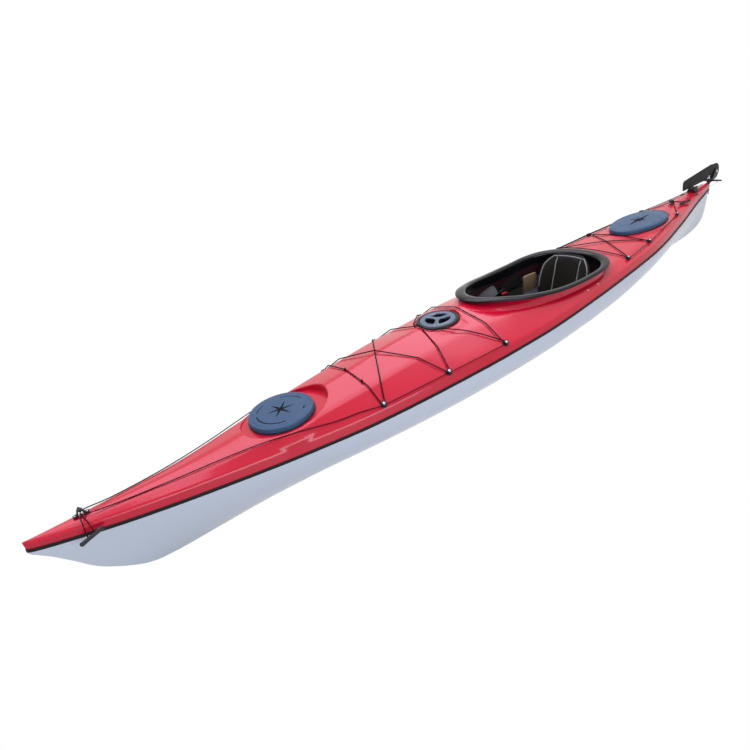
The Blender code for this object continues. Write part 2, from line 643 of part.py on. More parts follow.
def make_line_eye(name, x):
    """Low bridge on the centre line that holds the deck line and the carrying toggle."""
    half_length, half_width, height, wall = .026, .008, .023, .0045
    outline = [(-half_length, 0), (-half_length, .003), (-.013, .006), (-.009, height - .004), (-.004, height),
               (.004, height), (.009, height - .004), (.013, .006), (half_length, .003), (half_length, 0),
               (.0085, 0), (.0085, .005), (.0050, height - .004 - wall / 2), (-.0050, height - .004 - wall / 2),
               (-.0085, .005), (-.0085, 0)]
    verts, faces = extrude_outline(outline, "y", -half_width, half_width)
    made = add_mesh(name, verts, faces, BLACK_PLASTIC)
    slope = (ridge_z(x + .03) - ridge_z(x - .03)) / .06
    made.matrix_world = Matrix.Translation((x, 0, ridge_z(x) + .0022)) @ Matrix.Rotation(-math.atan(slope), 4, "Y")
    return made


def fitting_place(key, side, level, offset=(0, 0)):
    """A point beside a fitting's stem, at a level over the deck."""
    x, y = FITTINGS[key]
    frame = surface_frame(x, side * y, .0012)
    return frame @ Vector((offset[0], offset[1], level))


def taut_over_deck(start, end, diameter, lifts=(), clear=.0016):
    """Points where a taut cord between two places bends over the deck, without its two ends."""
    start, end = Vector(start), Vector(end)
    run = math.hypot(end.x - start.x, end.y - start.y)
    count = max(2, round(run / .004))
    profile = [(0.0, start.z)]
    for i in range(1, count):
        t = i / count
        x, y = start.x + (end.x - start.x) * t, start.y + (end.y - start.y) * t
        z = top_height(x, y) + diameter / 2 + clear
        for cx, cy, height in lifts:
            away = math.hypot(x - cx, y - cy)
            if away < .006:
                z += height
        profile.append((run * t, z))
    profile.append((run, end.z))
    upper = []
    for p in profile:
        while len(upper) > 1 and turn_of(upper[-2], upper[-1], p) >= 0:
            upper.pop()
        upper.append(p)
    kept = [upper[0]]
    for point, after in zip(upper[1:-1], upper[2:]):
        bend = math.atan2(point[1] - kept[-1][1], point[0] - kept[-1][0])
        bend -= math.atan2(after[1] - point[1], after[0] - point[0])
        if bend > math.radians(3):
            kept.append(point)
    kept = kept[1:]
    return [Vector((start.x + (end.x - start.x) * d / run, start.y + (end.y - start.y) * d / run, z))
            for d, z in kept]


def turn_of(a, b, c):
    """Positive where the path a, b, c turns upwards."""
    return (b[0] - a[0]) * (c[1] - a[1]) - (b[1] - a[1]) * (c[0] - a[0])


def round_stem(key, side, arriving, leaving, level, reach):
    """Points of a cord that passes round the outboard side of a fitting's stem."""
    frame = surface_frame(FITTINGS[key][0], side * FITTINGS[key][1], .0012)
    local = frame.inverted()
    angles = []
    for other in (arriving, leaving):
        flat = local @ Vector(other)
        angles.append(math.atan2(flat.y, flat.x))
    outboard = math.pi / 2 * side
    first, last = angles[0], angles[1]

    def nearest(angle):
        while angle - outboard > math.pi:
            angle -= 2 * math.pi
        while angle - outboard < -math.pi:
            angle += 2 * math.pi
        return angle
    first, last = nearest(first), nearest(last)
    turn = 1 if last > first else -1
    start, stop = first + turn * math.pi / 2, last - turn * math.pi / 2
    points = []
    for i in range(4):
        angle = start + (stop - start) * i / 3
        points.append(frame @ Vector((reach * math.cos(angle), reach * math.sin(angle), level)))
    return points


def cord_path(stops, diameter, level):
    """A cord from fitting to fitting. Each stop is (key, side, lifts, via) with the run that leads to it."""
    reach = FITTING_STEM_R + .0007 + diameter / 2
    centres = [Vector((FITTINGS[k][0], s * FITTINGS[k][1], 0)) for k, s, _, _ in stops]

    def neighbour(index, step):
        via = stops[index][3] if step < 0 else stops[index + 1][3]
        if via:
            x, y = via[-1] if step < 0 else via[0]
        else:
            x, y = centres[index + step].x, centres[index + step].y
        return Vector((x, y, deck_height(x, y)))
    turns = []
    for i, (key, side, _, _) in enumerate(stops):
        if 0 < i < len(stops) - 1:
            turns.append(round_stem(key, side, neighbour(i, -1), neighbour(i, 1), level, reach))
        else:
            frame = surface_frame(FITTINGS[key][0], side * FITTINGS[key][1], .0012)
            way = (frame.inverted() @ neighbour(i, 1 if i == 0 else -1)).xy.normalized() * reach * 1.6
            turns.append([frame @ Vector((way.x, way.y, level))])
    points = list(turns[0])
    for i in range(1, len(stops)):
        _, _, lifts, via = stops[i]
        marks = [points[-1]]
        for x, y in via:
            marks.append(Vector((x, y, top_height(x, y) + diameter / 2 + .0016)))
        marks.append(turns[i][0])
        for a, b in zip(marks, marks[1:]):
            points += taut_over_deck(a, b, diameter, lifts)
            points.append(b)
        points += turns[i][1:]
    return points


def make_fore_bungee():
    """Shock cord over the foredeck: two crosses between two straight runs, round the day hatch."""
    cross_1 = [(-.800, 0, BUNGEE_D + .0016)]
    cross_2 = [(-.541, .004, BUNGEE_D + .0016)]
    around_left = [(-.560, .088), (-.5395, .018), (-.5290, -.046), (-.488, -.094)]
    around_right = [(-.585, -.160), (-.5460, -.028), (-.5245, .060), (-.470, .106)]
    stops = [("fore_3", 1, (), ()),
             ("fore_3", -1, (), ()),
             ("fore_2", 1, (), tuple(reversed(around_left))),
             ("fore_1", -1, (), ()),
             ("fore_1", 1, (), ()),
             ("fore_2", -1, cross_1, ()),
             ("fore_3", 1, cross_2, tuple(around_right))]
    return add_tube("fore_bungee", cord_path(stops, BUNGEE_D, BUNGEE_LEVEL), BUNGEE_D, SHOCK_CORD)


def make_aft_bungee():
    """Shock cord over the aft deck: one cross between two straight runs."""
    lid_front = AFT_HATCH["x"] - AFT_HATCH["a"] - .0085
    stops = [("aft_1", -1, (), ()),
             ("aft_1", 1, (), ()),
             ("aft_2", -1, (), ()),
             ("aft_2", 1, (), ((lid_front, -.050), (lid_front, .050))),
             ("aft_1", -1, [(.895, 0, BUNGEE_D + .0016)], ())]
    return add_tube("aft_bungee", cord_path(stops, BUNGEE_D, BUNGEE_LEVEL), BUNGEE_D, SHOCK_CORD)


BOW_EYE_X, STERN_EYE_X = -2.045, 1.628
EYE_LINE_LEVEL, EYE_TOGGLE_LEVEL = .0045, .0125
FORE_LINE_WAY = [(-1.950, .025), (-1.750, .050), (-1.550, .086), (-1.440, .114), (-1.345, .142),
                 (-1.284, .158), (-1.150, .186), (-1.050, .206)]


END_TURN = {"fore_1": -1, "aft_3": 1}


def line_over_fittings(keys, side, outboard):
    """Points where a taut line passes each fitting, on its outboard side, and the runs between them."""
    points = []
    places = [fitting_place(k, side, LINE_LEVEL, (0, side * outboard)) for k in keys]
    last = fitting_place(keys[-1], side, LINE_LEVEL, (END_TURN[keys[-1]] * outboard * .9, side * outboard * .9))
    for a, b in zip(places, places[1:]):
        points.append(a)
        for t in (.25, .5, .75):
            p = a.lerp(b, t)
            p.z = max(p.z, top_height(p.x, p.y) + LINE_D / 2 + .0012)
            points.append(p)
    points += [places[-1], last]
    return points


def make_deck_lines():
    """Static lines: one round the foredeck through the bow eye, one round the aft deck through the stern eye."""
    reach = FITTING_STEM_R + .0008 + LINE_D / 2
    eye_z = ridge_z(BOW_EYE_X) + .0022 + EYE_LINE_LEVEL
    fore = []
    for side in (-1, 1):
        run = line_over_fittings(["fore_3", "fore_2", "fore_1"], side, reach)
        for x, y in reversed(FORE_LINE_WAY):
            run.append(Vector((x, side * y, top_height(x, y) + LINE_D / 2 + .0012)))
        fore.append(run)
    middle = [Vector((BOW_EYE_X + .010, -.0160, eye_z)), Vector((BOW_EYE_X, -.009, eye_z)),
              Vector((BOW_EYE_X, .009, eye_z)), Vector((BOW_EYE_X + .010, .0160, eye_z))]
    add_tube("fore_deck_line", fore[0] + middle + list(reversed(fore[1])), LINE_D, SHOCK_CORD)
    eye_z = ridge_z(STERN_EYE_X) + .0022 + EYE_LINE_LEVEL
    aft = []
    for side in (-1, 1):
        run = line_over_fittings(["aft_1", "aft_2", "aft_3"], side, reach)
        for x, y in ((1.530, .077), (1.585, .040)):
            run.append(Vector((x, side * y, top_height(x, y) + LINE_D / 2 + .0012)))
        aft.append(run)
    middle = [Vector((STERN_EYE_X - .008, -.0160, eye_z)), Vector((STERN_EYE_X, -.009, eye_z)),
              Vector((STERN_EYE_X, .009, eye_z)), Vector((STERN_EYE_X - .008, .0160, eye_z))]
    add_tube("aft_deck_line", aft[0] + middle + list(reversed(aft[1])), LINE_D, SHOCK_CORD)


LIFT_LINE_WAY = [(.128, .2765), (.250, .2745), (.400, .2730), (.550, .2640), (.660, .2520), (.765, .2380),
                 (.890, .2240), (1.027, .2090), (1.180, .1815), (1.330, .1550), (1.474, .1290), (1.600, .0920),
                 (1.740, .0560), (1.880, .0345), (1.990, .0180), (2.045, .0120)]
CLEAT_X, CLEAT_Y = .112, .277


def make_lift_line():
    """Line that raises the rudder: from its cleat beside the cockpit along the starboard deck to the stern."""
    route = [(x, y, top_height(x, y) + LINE_D / 2 + .0014) for x, y in LIFT_LINE_WAY]
    add_tube("rudder_lift_line", smooth_points(route, .075), LINE_D, SHOCK_CORD)
    outline = [(-.024, 0), (.024, 0), (.024, .003), (.010, .008), (.0035, .0125), (-.0035, .0125), (-.010, .008),
               (-.024, .003)]
    verts, faces = extrude_outline(outline, "x", -.008, .008)
    turned_verts = [(y, x, z) for x, y, z in verts]
    cleat = add_mesh("lift_line_cleat", turned_verts, faces, BLACK_PLASTIC)
    cleat.matrix_world = surface_frame(CLEAT_X - .014, CLEAT_Y, .0030)


def cable_route(side):
    """Rudder cable from the foot rail along the hull's side and up out of the deck."""
    way = [(-.340, .2355, .130), (.050, .2700, .150), (.350, .2640, .160), (.660, .2360, .170),
           (.790, .2150, .175), (1.050, .1750, .195), (1.350, .1200, .225), (1.550, .0780, .268),
           (1.670, .0490, .305), (1.745, .0341, .3240)]
    return [(x, side * y, z) for x, y, z in way]


WIRE_START, WIRE_END = (1.795, .0386, .3296), (2.0965, .0657, .3633)


def make_cables():
    """Steering cables in their housings, and the wires that run on from them to the tiller arms."""
    for side in (-1, 1):
        points = smooth_points(cable_route(side), .095)
        add_tube("rudder_cable_%s" % SIDE_NAME[side], points, .0036, BLACK_PLASTIC)
        start, end = Vector(WIRE_START), Vector(WIRE_END)
        start.y, end.y = side * start.y, side * end.y
        add_mesh("rudder_wire_%s" % SIDE_NAME[side], *tube_shape([start, end], .0011), STEEL)


def make_seat():
    """Moulded seat pan on the hull's floor with hip plates, its cushion, hip pads and the tilting backrest."""
    front, rear = .075, .478
    half = [(0, .0440), (.060, .0440), (.060, .0125), (.074, .0140), (.074, .0440), (.162, .0440), (.178, .0560),
            (.184, .105), (.178, .105), (.172, .0610), (.159, .0500)]
    outline = half + [(-y, z) for y, z in reversed(half[1:])]
    rings = []
    for x, lift in ((front, .004), (front + .06, 0), (rear - .04, 0), (rear, .003)):
        rings.append([(x, y, z + (lift if z > .043 else 0)) for y, z in outline])
    pan = add_mesh("seat_pan", *loft(rings), BLACK_PLASTIC)
    for side in (-1, 1):
        plate = [(.178, .095), (.184, .095), (.222, .180), (.236, .262), (.230, .262), (.215, .180)]
        shape = extrude_outline([(side * y, z) for y, z in plate], "x", .250, .410)
        combine(pan, "UNION", guide("hip_plate_guide_%s" % SIDE_NAME[side], shape))
    make_cushion()
    for side in (-1, 1):
        make_hip_pad(side)


def make_cushion():
    """Seat cushion: crowned, with sides drawn in between its corners and two sewn channels."""
    front, rear, half_width = .080, .470, .154
    base_z, thick = .0555, .020
    rows = 10
    columns = [-1, -.90, -.70, -.49, -.44, -.39, -.20, 0, .20, .39, .44, .49, .70, .90, 1]
    channel_y = .068
    top, bottom = [], []
    for i in range(rows + 1):
        u = i / rows
        x = front + (rear - front) * u
        along = math.sin(math.pi * min(max(u, .0), 1.0))
        side_draw = .006 * math.sin(math.pi * u)
        corner = min(1.0, (min(u, 1 - u) / .09) ** .5) if 0 < u < 1 else 0.0
        width = (half_width - side_draw) * (.93 + .07 * corner)
        row_top, row_bottom = [], []
        for v in columns:
            y = width * v
            rim = (1 - abs(v) ** 6) * (1 - abs(2 * u - 1) ** 8)
            channel = math.exp(-((abs(y) - channel_y - .018 * math.exp(-u * 5)) / .006) ** 2)
            z = base_z + .004 + thick * rim ** .6 * (.72 + .28 * along * (1 - .5 * v * v)) - .006 * channel * rim
            row_top.append((x, y, z))
            row_bottom.append((x, y, base_z))
        top.append(row_top)
        bottom.append(row_bottom)
    closed_sheet("seat_cushion", top, bottom, SEAT_FABRIC)


def closed_sheet(name, top, bottom, finish):
    """A closed body between two grids of points with the same plan."""
    rows, columns = len(top), len(top[0])
    verts = [v for row in top for v in row] + [v for row in bottom for v in row]
    start = rows * columns
    faces = []
    for i in range(rows - 1):
        for j in range(columns - 1):
            a = i * columns + j
            faces.append((a, a + 1, a + columns + 1, a + columns))
            faces.append((start + a, start + a + columns, start + a + columns + 1, start + a + 1))
    edge = [(0, j) for j in range(columns)] + [(i, columns - 1) for i in range(1, rows)]
    edge += [(rows - 1, j) for j in range(columns - 2, -1, -1)] + [(i, 0) for i in range(rows - 2, 0, -1)]
    for (i1, j1), (i2, j2) in zip(edge, edge[1:] + edge[:1]):
        a, b = i1 * columns + j1, i2 * columns + j2
        faces.append((a, b, start + b, start + a))
    return add_mesh(name, verts, faces, finish, smooth_angle=60)


def make_hip_pad(side):
    """Foam lobe inside each hip plate."""
    top, bottom = [], []
    for i in range(9):
        u = i / 8
        x = .258 + (.402 - .258) * u
        row_top, row_bottom = [], []
        for j in range(7):
            v = j / 6
            z = .112 + .085 * v
            plate_y = (.178 + .037 * (z - .095) / .085 if z < .180 else .215 + .015 * (z - .180) / .082) - .0060
            swell = .018 * (1 - abs(2 * u - 1) ** 3) * (1 - abs(2 * v - 1) ** 3) + .004
            row_top.append((x, side * (plate_y - swell), z))
            row_bottom.append((x, side * plate_y, z))
        top.append(row_top)
        bottom.append(row_bottom)
    closed_sheet("hip_pad_%s" % SIDE_NAME[side], top, bottom, FOAM)


BACK_HINGE = (.497, 0, .098)
BACK_LEAN = math.radians(18)


def make_backrest():
    """Padded backrest that wraps forward at its sides; it tilts about the hinge line at its foot."""
    width_half, height, thick = .158, .262, .022
    front_grid, back_grid = [], []
    rows = 10
    columns = [-1, -.90, -.70, -.52, -.47, -.42, -.20, 0, .20, .42, .47, .52, .70, .90, 1]
    for i in range(rows + 1):
        v = i / rows
        row_front, row_back = [], []
        half = width_half * (.90 + .10 * math.sin(math.pi * min(1, v * 1.1)))
        if v > .72:
            half *= math.sqrt(max(0, 1 - ((v - .72) / .33) ** 2))
        for w in columns:
            y = half * w
            wrap = .055 * (y / width_half) ** 2
            up = height * v
            rim = (1 - abs(w) ** 6) * (1 - abs(2 * v - 1) ** 8)
            channel = math.exp(-((abs(y) - .074) / .006) ** 2)
            pad = .004 + (thick - .004) * rim ** .6 - .006 * channel * rim
            x = -wrap + up * math.sin(BACK_LEAN)
            z = up * math.cos(BACK_LEAN) + .004
            row_back.append((x + .012, y, z))
            row_front.append((x + .012 - pad * math.cos(BACK_LEAN), y, z + pad * math.sin(BACK_LEAN) * .4))
        front_grid.append(row_front)
        back_grid.append(row_back)
    back = closed_sheet("backrest", front_grid, back_grid, SEAT_FABRIC)
    back.location = BACK_HINGE
    return back


def make_straps():
    """Ladder straps beside the backrest, their ratchet buckles and the red release levers."""
    strap_y, low, high = .2010, .206, .230
    for side in (-1, 1):
        label = SIDE_NAME[side]
        strap = extrude_outline([(.200, low), (.560, low + .012), (.560, high + .012), (.200, high)], "y",
                                side * strap_y - .0011, side * strap_y + .0011)
        strap_body = add_mesh("backrest_strap_" + label, *strap, BLACK_PLASTIC)
        buckle = [(.214, low - .004), (.252, low - .004), (.256, high + .005), (.244, high + .010),
                  (.218, high + .008), (.210, high)]
        inner = side * (strap_y - .0005)
        shape = extrude_outline(buckle, "y", inner, inner - side * .0110)
        combine(strap_body, "UNION", guide("buckle_guide_" + label, shape))
        lever = [(0, -.008), (.006, -.006), (.008, .000), (.006, .006), (-.020, .009), (-.030, .006),
                 (-.030, -.002), (-.020, -.005)]
        verts, faces = extrude_outline(lever, "y", -side * .0006, -side * .0150)
        made = add_mesh("ratchet_lever_" + label, verts, faces, RED_PLASTIC)
        made.location = (.238, inner - side * .0110, (low + high) / 2 + .002)


def make_thigh_braces():
    """Flanges under the coaming that the knees press against."""
    for side in (-1, 1):
        outline = [(.228, .278), (.205, .2760), (.172, .2660), (.150, .2480), (.144, .2520), (.168, .2720),
                   (.203, .2820), (.228, .2840)]
        rings = []
        for x, part in ((.020, .35), (.050, .85), (.100, 1), (.150, .85), (.180, .35)):
            ring = []
            for y, z in outline:
                ring.append((x, side * (.228 + (y - .228) * part), .281 + (z - .281) * (.4 + .6 * part)))
            rings.append(ring)
        add_mesh("thigh_brace_" + SIDE_NAME[side], *loft(rings), BLACK_GELCOAT, smooth_angle=50)


PEDAL_X = -.610
RAIL_START, RAIL_END = -.760, -.350


def make_foot_controls():
    """Foot rails on the hull's sides and the sliding pedals that steer the rudder."""
    for side in (-1, 1):
        label = SIDE_NAME[side]
        rail = [(.2300, .118), (.2350, .118), (.2350, .142), (.2300, .142), (.2300, .1345), (.2325, .1345),
                (.2325, .1255), (.2300, .1255)]
        verts, faces = extrude_outline([(side * y, z) for y, z in rail], "x", RAIL_START, RAIL_END)
        add_mesh("foot_rail_" + label, verts, faces, ALUMINIUM)
        sole = [(-.006, .100), (.002, .097), (.010, .125), (.006, .178), (-.002, .182), (-.001, .127)]
        rings = []
        for y, lean in ((.142, .004), (.158, 0), (.205, 0), (.2200, 0)):
            rings.append([(x + lean, side * y, z - .130) for x, z in sole])
        made = add_mesh("foot_pedal_" + label, *loft(rings), BLACK_PLASTIC)
        made.location = (PEDAL_X, 0, .130)
        slider = [(-.020, -.008), (.020, -.008), (.020, .008), (-.020, .008)]
        block = guide("pedal_slider_guide_" + label, extrude_outline([(x, z) for x, z in slider], "y",
                                                                      side * .2150, side * .2292))
        block.location = made.location
        combine(made, "UNION", block)


def tube_shape(path, radius, segments=8):
    """A round tube along a path of points, as vertices and faces."""
    path = [Vector(p) for p in path]
    rings = []
    side = None
    for k, point in enumerate(path):
        ahead = (path[min(k + 1, len(path) - 1)] - path[max(k - 1, 0)]).normalized()
        side = ahead.orthogonal() if side is None else side - ahead * side.dot(ahead)
        side.normalize()
        above = ahead.cross(side)
        angles = [2 * math.pi * j / segments for j in range(segments)]
        rings.append([tuple(point + (side * math.cos(a) + above * math.sin(a)) * radius) for a in angles])
    return loft(rings)


def make_toggle(name, eye_x, bar_centre, bar_way, bar_length, bar_d):
    """Carrying toggle: a turned bar on a cord through the eye; its origin is where the cord leaves the eye."""
    eye = Vector((eye_x, 0, ridge_z(eye_x) + .0022 + EYE_TOGGLE_LEVEL))
    centre = Vector(bar_centre) - eye
    way = Vector(bar_way).normalized()
    side = way.orthogonal().normalized()
    up = way.cross(side)
    rings = []
    for t, r in ((-.5, .6), (-.45, .95), (-.15, .85), (.15, .85), (.45, .95), (.5, .6)):
        base = centre + way * bar_length * t
        angles = [2 * math.pi * i / 10 for i in range(10)]
        rings.append([tuple(base + (side * math.cos(a) + up * math.sin(a)) * bar_d / 2 * r) for a in angles])
    bar = add_mesh(name, *loft(rings), BLACK_PLASTIC, smooth_angle=50)
    bar.location = eye
    route = [centre - way * .013, Vector((-.005, -.050, -.002)), Vector((0, -.014, 0)), Vector((0, .015, 0)),
             Vector((0, .019, .004)), Vector((0, .015, .0085))]
    part = [centre + way * .013, Vector((.006, -.050, .0015)), Vector((.0015, -.018, .0005))]
    for i, path in enumerate((route, part)):
        cord = guide("%s_cord_guide_%d" % (name, i), tube_shape(path, .0019))
        cord.location = eye
        combine(bar, "UNION", cord)
    return bar


def make_rudder():
    """Stern bracket, pin, swinging yoke with its tiller arms, flip-up blade, its bolt, and the deck chock."""
    make_bracket()
    rings = []
    for r, z in ((.0065, .2935), (.0065, .2970), (.0038, .2970), (.0038, .3795), (.0065, .3795), (.0065, .3820)):
        angles = [2 * math.pi * i / 12 for i in range(12)]
        rings.append([(YAW_AXIS_X + r * math.cos(t), r * math.sin(t), z) for t in angles])
    add_mesh("rudder_pin", *loft(rings), STEEL, smooth_angle=40)
    make_yoke()
    make_blade()
    make_chock()


def make_bracket():
    """Plate on the stern with two lugs that hold the pin."""
    plate = [(-.0100, .2750), (.0100, .2750), (.0100, .3490), (-.0100, .3490)]
    verts, faces = extrude_outline(plate, "x", 2.0905, 2.0935)
    bracket = add_mesh("rudder_bracket", verts, faces, STEEL)
    bore = ellipse_prism(YAW_AXIS_X, 0, .0043, .0043, .25, .40, 16)
    for i, (low, high) in enumerate(((.2980, .3030), (.3430, .3480))):
        lug = ellipse_prism(YAW_AXIS_X, 0, .0085, .0095, low, high, 16)
        combine(bracket, "UNION", guide("bracket_lug_guide_%d" % i, lug))
    combine(bracket, "DIFFERENCE", guide("bracket_bore_guide", bore))
    return bracket


def make_yoke():
    """Yoke that turns on the pin: a head, two tiller arms and two cheeks that hold the blade."""
    head = [(.0125 * math.cos(math.radians(a)), .0125 * math.sin(math.radians(a))) for a in range(60, 301, 30)]
    head = [(.013, .0125)] + head + [(.013, -.0125)]
    verts, faces = extrude_outline(head, "z", .3500, .3735)
    yoke = add_mesh("rudder_yoke", verts, faces, BLACK_PLASTIC)
    yoke.location = (YAW_AXIS_X, 0, 0)
    for side in (-1, 1):
        arm = [(.002, YAW_ARM_Y + .008), (.012, YAW_ARM_Y + .010), (.0125, .0200), (.0115, .0090), (-.006, .0090),
               (-.006, .0120)]
        shape = extrude_outline([(x, side * y) for x, y in arm], "z", .3590, .3670)
        wing = guide("tiller_guide_%s" % SIDE_NAME[side], shape)
        wing.location = yoke.location
        combine(yoke, "UNION", wing)
    fx, fz = FLIP_AXIS[0] - YAW_AXIS_X, FLIP_AXIS[2]
    for side in (-1, 1):
        cheek = [(.003, .3520), (.030, .3520), (fx + .004, fz - .030), (fx + .020, fz - .012), (fx + .022, fz + .006),
                 (fx + .012, fz + .020), (fx - .008, fz + .022), (fx - .022, fz + .008), (.026, .3720), (.003, .3720)]
        verts, faces = extrude_outline(cheek, "y", side * .0078, side * .0122)
        plate = guide("cheek_guide_%s" % SIDE_NAME[side], (verts, faces))
        plate.location = yoke.location
        combine(yoke, "UNION", plate)
    bore = guide("yoke_bore_guide", ellipse_prism(0, 0, .0044, .0044, .30, .45, 16))
    bore.location = yoke.location
    combine(yoke, "DIFFERENCE", bore)
    bolt_bore = guide("yoke_bolt_bore_guide", bore_along((fx, -.03, fz), (fx, .03, fz), .0046, 0))
    bolt_bore.location = yoke.location
    combine(yoke, "DIFFERENCE", bolt_bore)
    return yoke


def make_blade():
    """Rudder blade, stowed forward over the deck: a foil that grows into a round head at the flip bolt."""
    px, _, pz = FLIP_AXIS
    length = px - BLADE_TIP_X
    lower = [(-length, .385), (-length + .010, .3805), (-.112, .3790), (-.086, .3880), (-.062, .4020)]
    head = [(.052 * math.cos(math.radians(a)), pz + .052 * math.sin(math.radians(a)))
            for a in range(-175, 101, 25)]
    upper = [(-.060, .4640), (-.120, .4610), (-length + .012, .4420), (-length, .4340)]
    outline = [(x, z - pz) for x, z in lower] + [(x, z - pz) for x, z in head] + [(x, z - pz) for x, z in upper]
    verts, faces = extrude_outline(outline, "y", -.0055, .0055)
    blade = add_mesh("rudder_blade", verts, faces, BLACK_PLASTIC)
    blade.location = FLIP_AXIS
    bore = guide("blade_bore_guide", bore_along((0, -.02, 0), (0, .02, 0), .0046, 0))
    bore.location = FLIP_AXIS
    combine(blade, "DIFFERENCE", bore)
    rings = []
    for r, y in ((.0078, -.0168), (.0085, -.0150), (.0085, -.0130), (.0040, -.0130), (.0040, .0130), (.0085, .0130),
                 (.0085, .0150), (.0078, .0168)):
        angles = [2 * math.pi * i / 12 for i in range(12)]
        rings.append([(px + r * math.cos(t), y, pz + r * math.sin(t)) for t in angles])
    add_mesh("rudder_flip_bolt", *loft(rings), STEEL, smooth_angle=40)
    return blade


def make_chock():
    """Low cradle on the aft deck under the stowed blade."""
    x, half = 1.888, .024
    base = deck_height(x, 0)
    outline = [(-.026, base - .0040), (.026, base - .0040), (.026, base + .0020), (.016, .3770), (.0085, .3770),
               (.0070, .3720), (-.0070, .3720), (-.0085, .3770), (-.016, .3770), (-.026, base + .0020)]
    rings = []
    for at in (x - half, x + half):
        rings.append([(at, y, z) for y, z in outline])
    chock = add_mesh("rudder_chock", *loft(rings), BLACK_PLASTIC)
    fit = deck_solid("chock_fit_guide", -.0008, .0, inner=False)
    fit.hide_render = True
    fit.display_type = "WIRE"
    combine(chock, "DIFFERENCE", fit)
    return chock


def main():
    """Build every sub-part of the boat."""
    clear_scene()
    make_hull()
    make_deck()
    make_seam_band()
    make_coaming()
    make_bulkhead("fore_bulkhead", FORE_BULKHEAD_X, GLASS_LAMINATE)
    route = cable_route(1)
    crossing = next(p for p in route if abs(p[0] - AFT_BULKHEAD_X) < .001)
    make_bulkhead("aft_bulkhead", AFT_BULKHEAD_X, GLASS_LAMINATE,
                  holes=[(-crossing[1], crossing[2]), (crossing[1], crossing[2])])
    make_hatch("fore", FORE_HATCH)
    make_hatch("aft", AFT_HATCH)
    make_day_hatch()
    for key, (x, y) in FITTINGS.items():
        for side in (-1, 1):
            make_fitting("deck_fitting_%s_%s" % (key, SIDE_NAME[side]), x, side * y)
    make_line_eye("bow_fitting", BOW_EYE_X)
    make_line_eye("stern_fitting", STERN_EYE_X)
    make_fore_bungee()
    make_aft_bungee()
    make_deck_lines()
    make_lift_line()
    make_cables()
    make_seat()
    make_backrest()
    make_straps()
    make_thigh_braces()
    make_foot_controls()
    make_toggle("bow_toggle", BOW_EYE_X, (-2.044, -.083, .300), (.95, .25, .10), .085, .016)
    make_toggle("stern_toggle", STERN_EYE_X, (1.660, -.068, .3420), (.97, -.20, .02), .090, .016)
    make_rudder()


main()
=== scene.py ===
"""Composite touring kayak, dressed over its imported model.

Gelcoat shells, rubber hatch lids, deck cords, seat and rudder.
Metres. +X aft, +Y starboard, +Z up.
"""
import json
import logging
import math
from dataclasses import dataclass, field
from enum import Enum
from typing import Callable, Iterable, Optional, Sequence

import bmesh
import bpy
import numpy as np
from mathutils import Matrix, Vector

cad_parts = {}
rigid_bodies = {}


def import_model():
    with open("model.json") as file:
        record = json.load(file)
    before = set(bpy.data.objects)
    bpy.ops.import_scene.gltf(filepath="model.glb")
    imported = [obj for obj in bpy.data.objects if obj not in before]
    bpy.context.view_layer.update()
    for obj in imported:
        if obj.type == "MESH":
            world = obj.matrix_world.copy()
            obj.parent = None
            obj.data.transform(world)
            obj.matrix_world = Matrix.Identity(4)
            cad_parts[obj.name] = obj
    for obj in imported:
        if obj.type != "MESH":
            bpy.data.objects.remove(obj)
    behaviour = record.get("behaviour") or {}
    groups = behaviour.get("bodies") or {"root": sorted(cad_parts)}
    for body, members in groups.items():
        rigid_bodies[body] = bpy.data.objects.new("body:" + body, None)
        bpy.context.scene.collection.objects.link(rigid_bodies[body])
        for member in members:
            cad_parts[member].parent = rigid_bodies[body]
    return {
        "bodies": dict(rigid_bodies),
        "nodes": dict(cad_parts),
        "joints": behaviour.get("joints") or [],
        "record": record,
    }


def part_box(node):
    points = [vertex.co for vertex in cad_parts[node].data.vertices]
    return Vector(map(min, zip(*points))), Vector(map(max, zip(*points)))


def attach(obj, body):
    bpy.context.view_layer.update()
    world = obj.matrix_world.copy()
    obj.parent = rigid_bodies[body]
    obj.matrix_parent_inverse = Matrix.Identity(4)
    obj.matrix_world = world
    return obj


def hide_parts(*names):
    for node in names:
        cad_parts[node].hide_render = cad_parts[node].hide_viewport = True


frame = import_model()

LOG = logging.getLogger("kayak")
Point = Sequence[float]
Ring = list[tuple[float, float, float]]


class Side(Enum):
    """The two sides of the boat, with the sign of Y on each."""

    PORT = -1
    STARBOARD = 1

    @property
    def word(self) -> str:
        """The side's name as the nodes write it."""
        return self.name.lower()


class Relief(Enum):
    """How a finish's surface is worked."""

    GRAIN = "grain"
    WEAVE = "weave"
    BRAID = "braid"
    BRUSHED = "brushed"


# Colours, nodes and finishes

def linear(code: str) -> tuple[float, float, float, float]:
    """Turn an sRGB hex colour into the linear values that shaders take.

    Args:
        code: six hex digits after a hash sign.

    Returns:
        Red, green, blue and alpha.
    """
    parts = [int(code[i:i + 2], 16) / 255 for i in (1, 3, 5)]
    return (*[c / 12.92 if c <= .04045 else ((c + .055) / 1.055) ** 2.4 for c in parts], 1.0)


def add_node(tree: bpy.types.NodeTree, kind: str, inputs: Optional[dict] = None,
             **settings: object) -> bpy.types.Node:
    """Add a node, apply its settings, then fill or link its inputs.

    Args:
        tree: the node tree.
        kind: Blender's name for the node.
        inputs: value or socket for each input's name or number.
        settings: attributes of the node.

    Returns:
        The new node.
    """
    node = tree.nodes.new(kind)
    for key, value in settings.items():
        setattr(node, key, value)
    for key, value in (inputs or {}).items():
        if isinstance(value, bpy.types.NodeSocket):
            tree.links.new(value, node.inputs[key])
        else:
            node.inputs[key].default_value = value
    return node


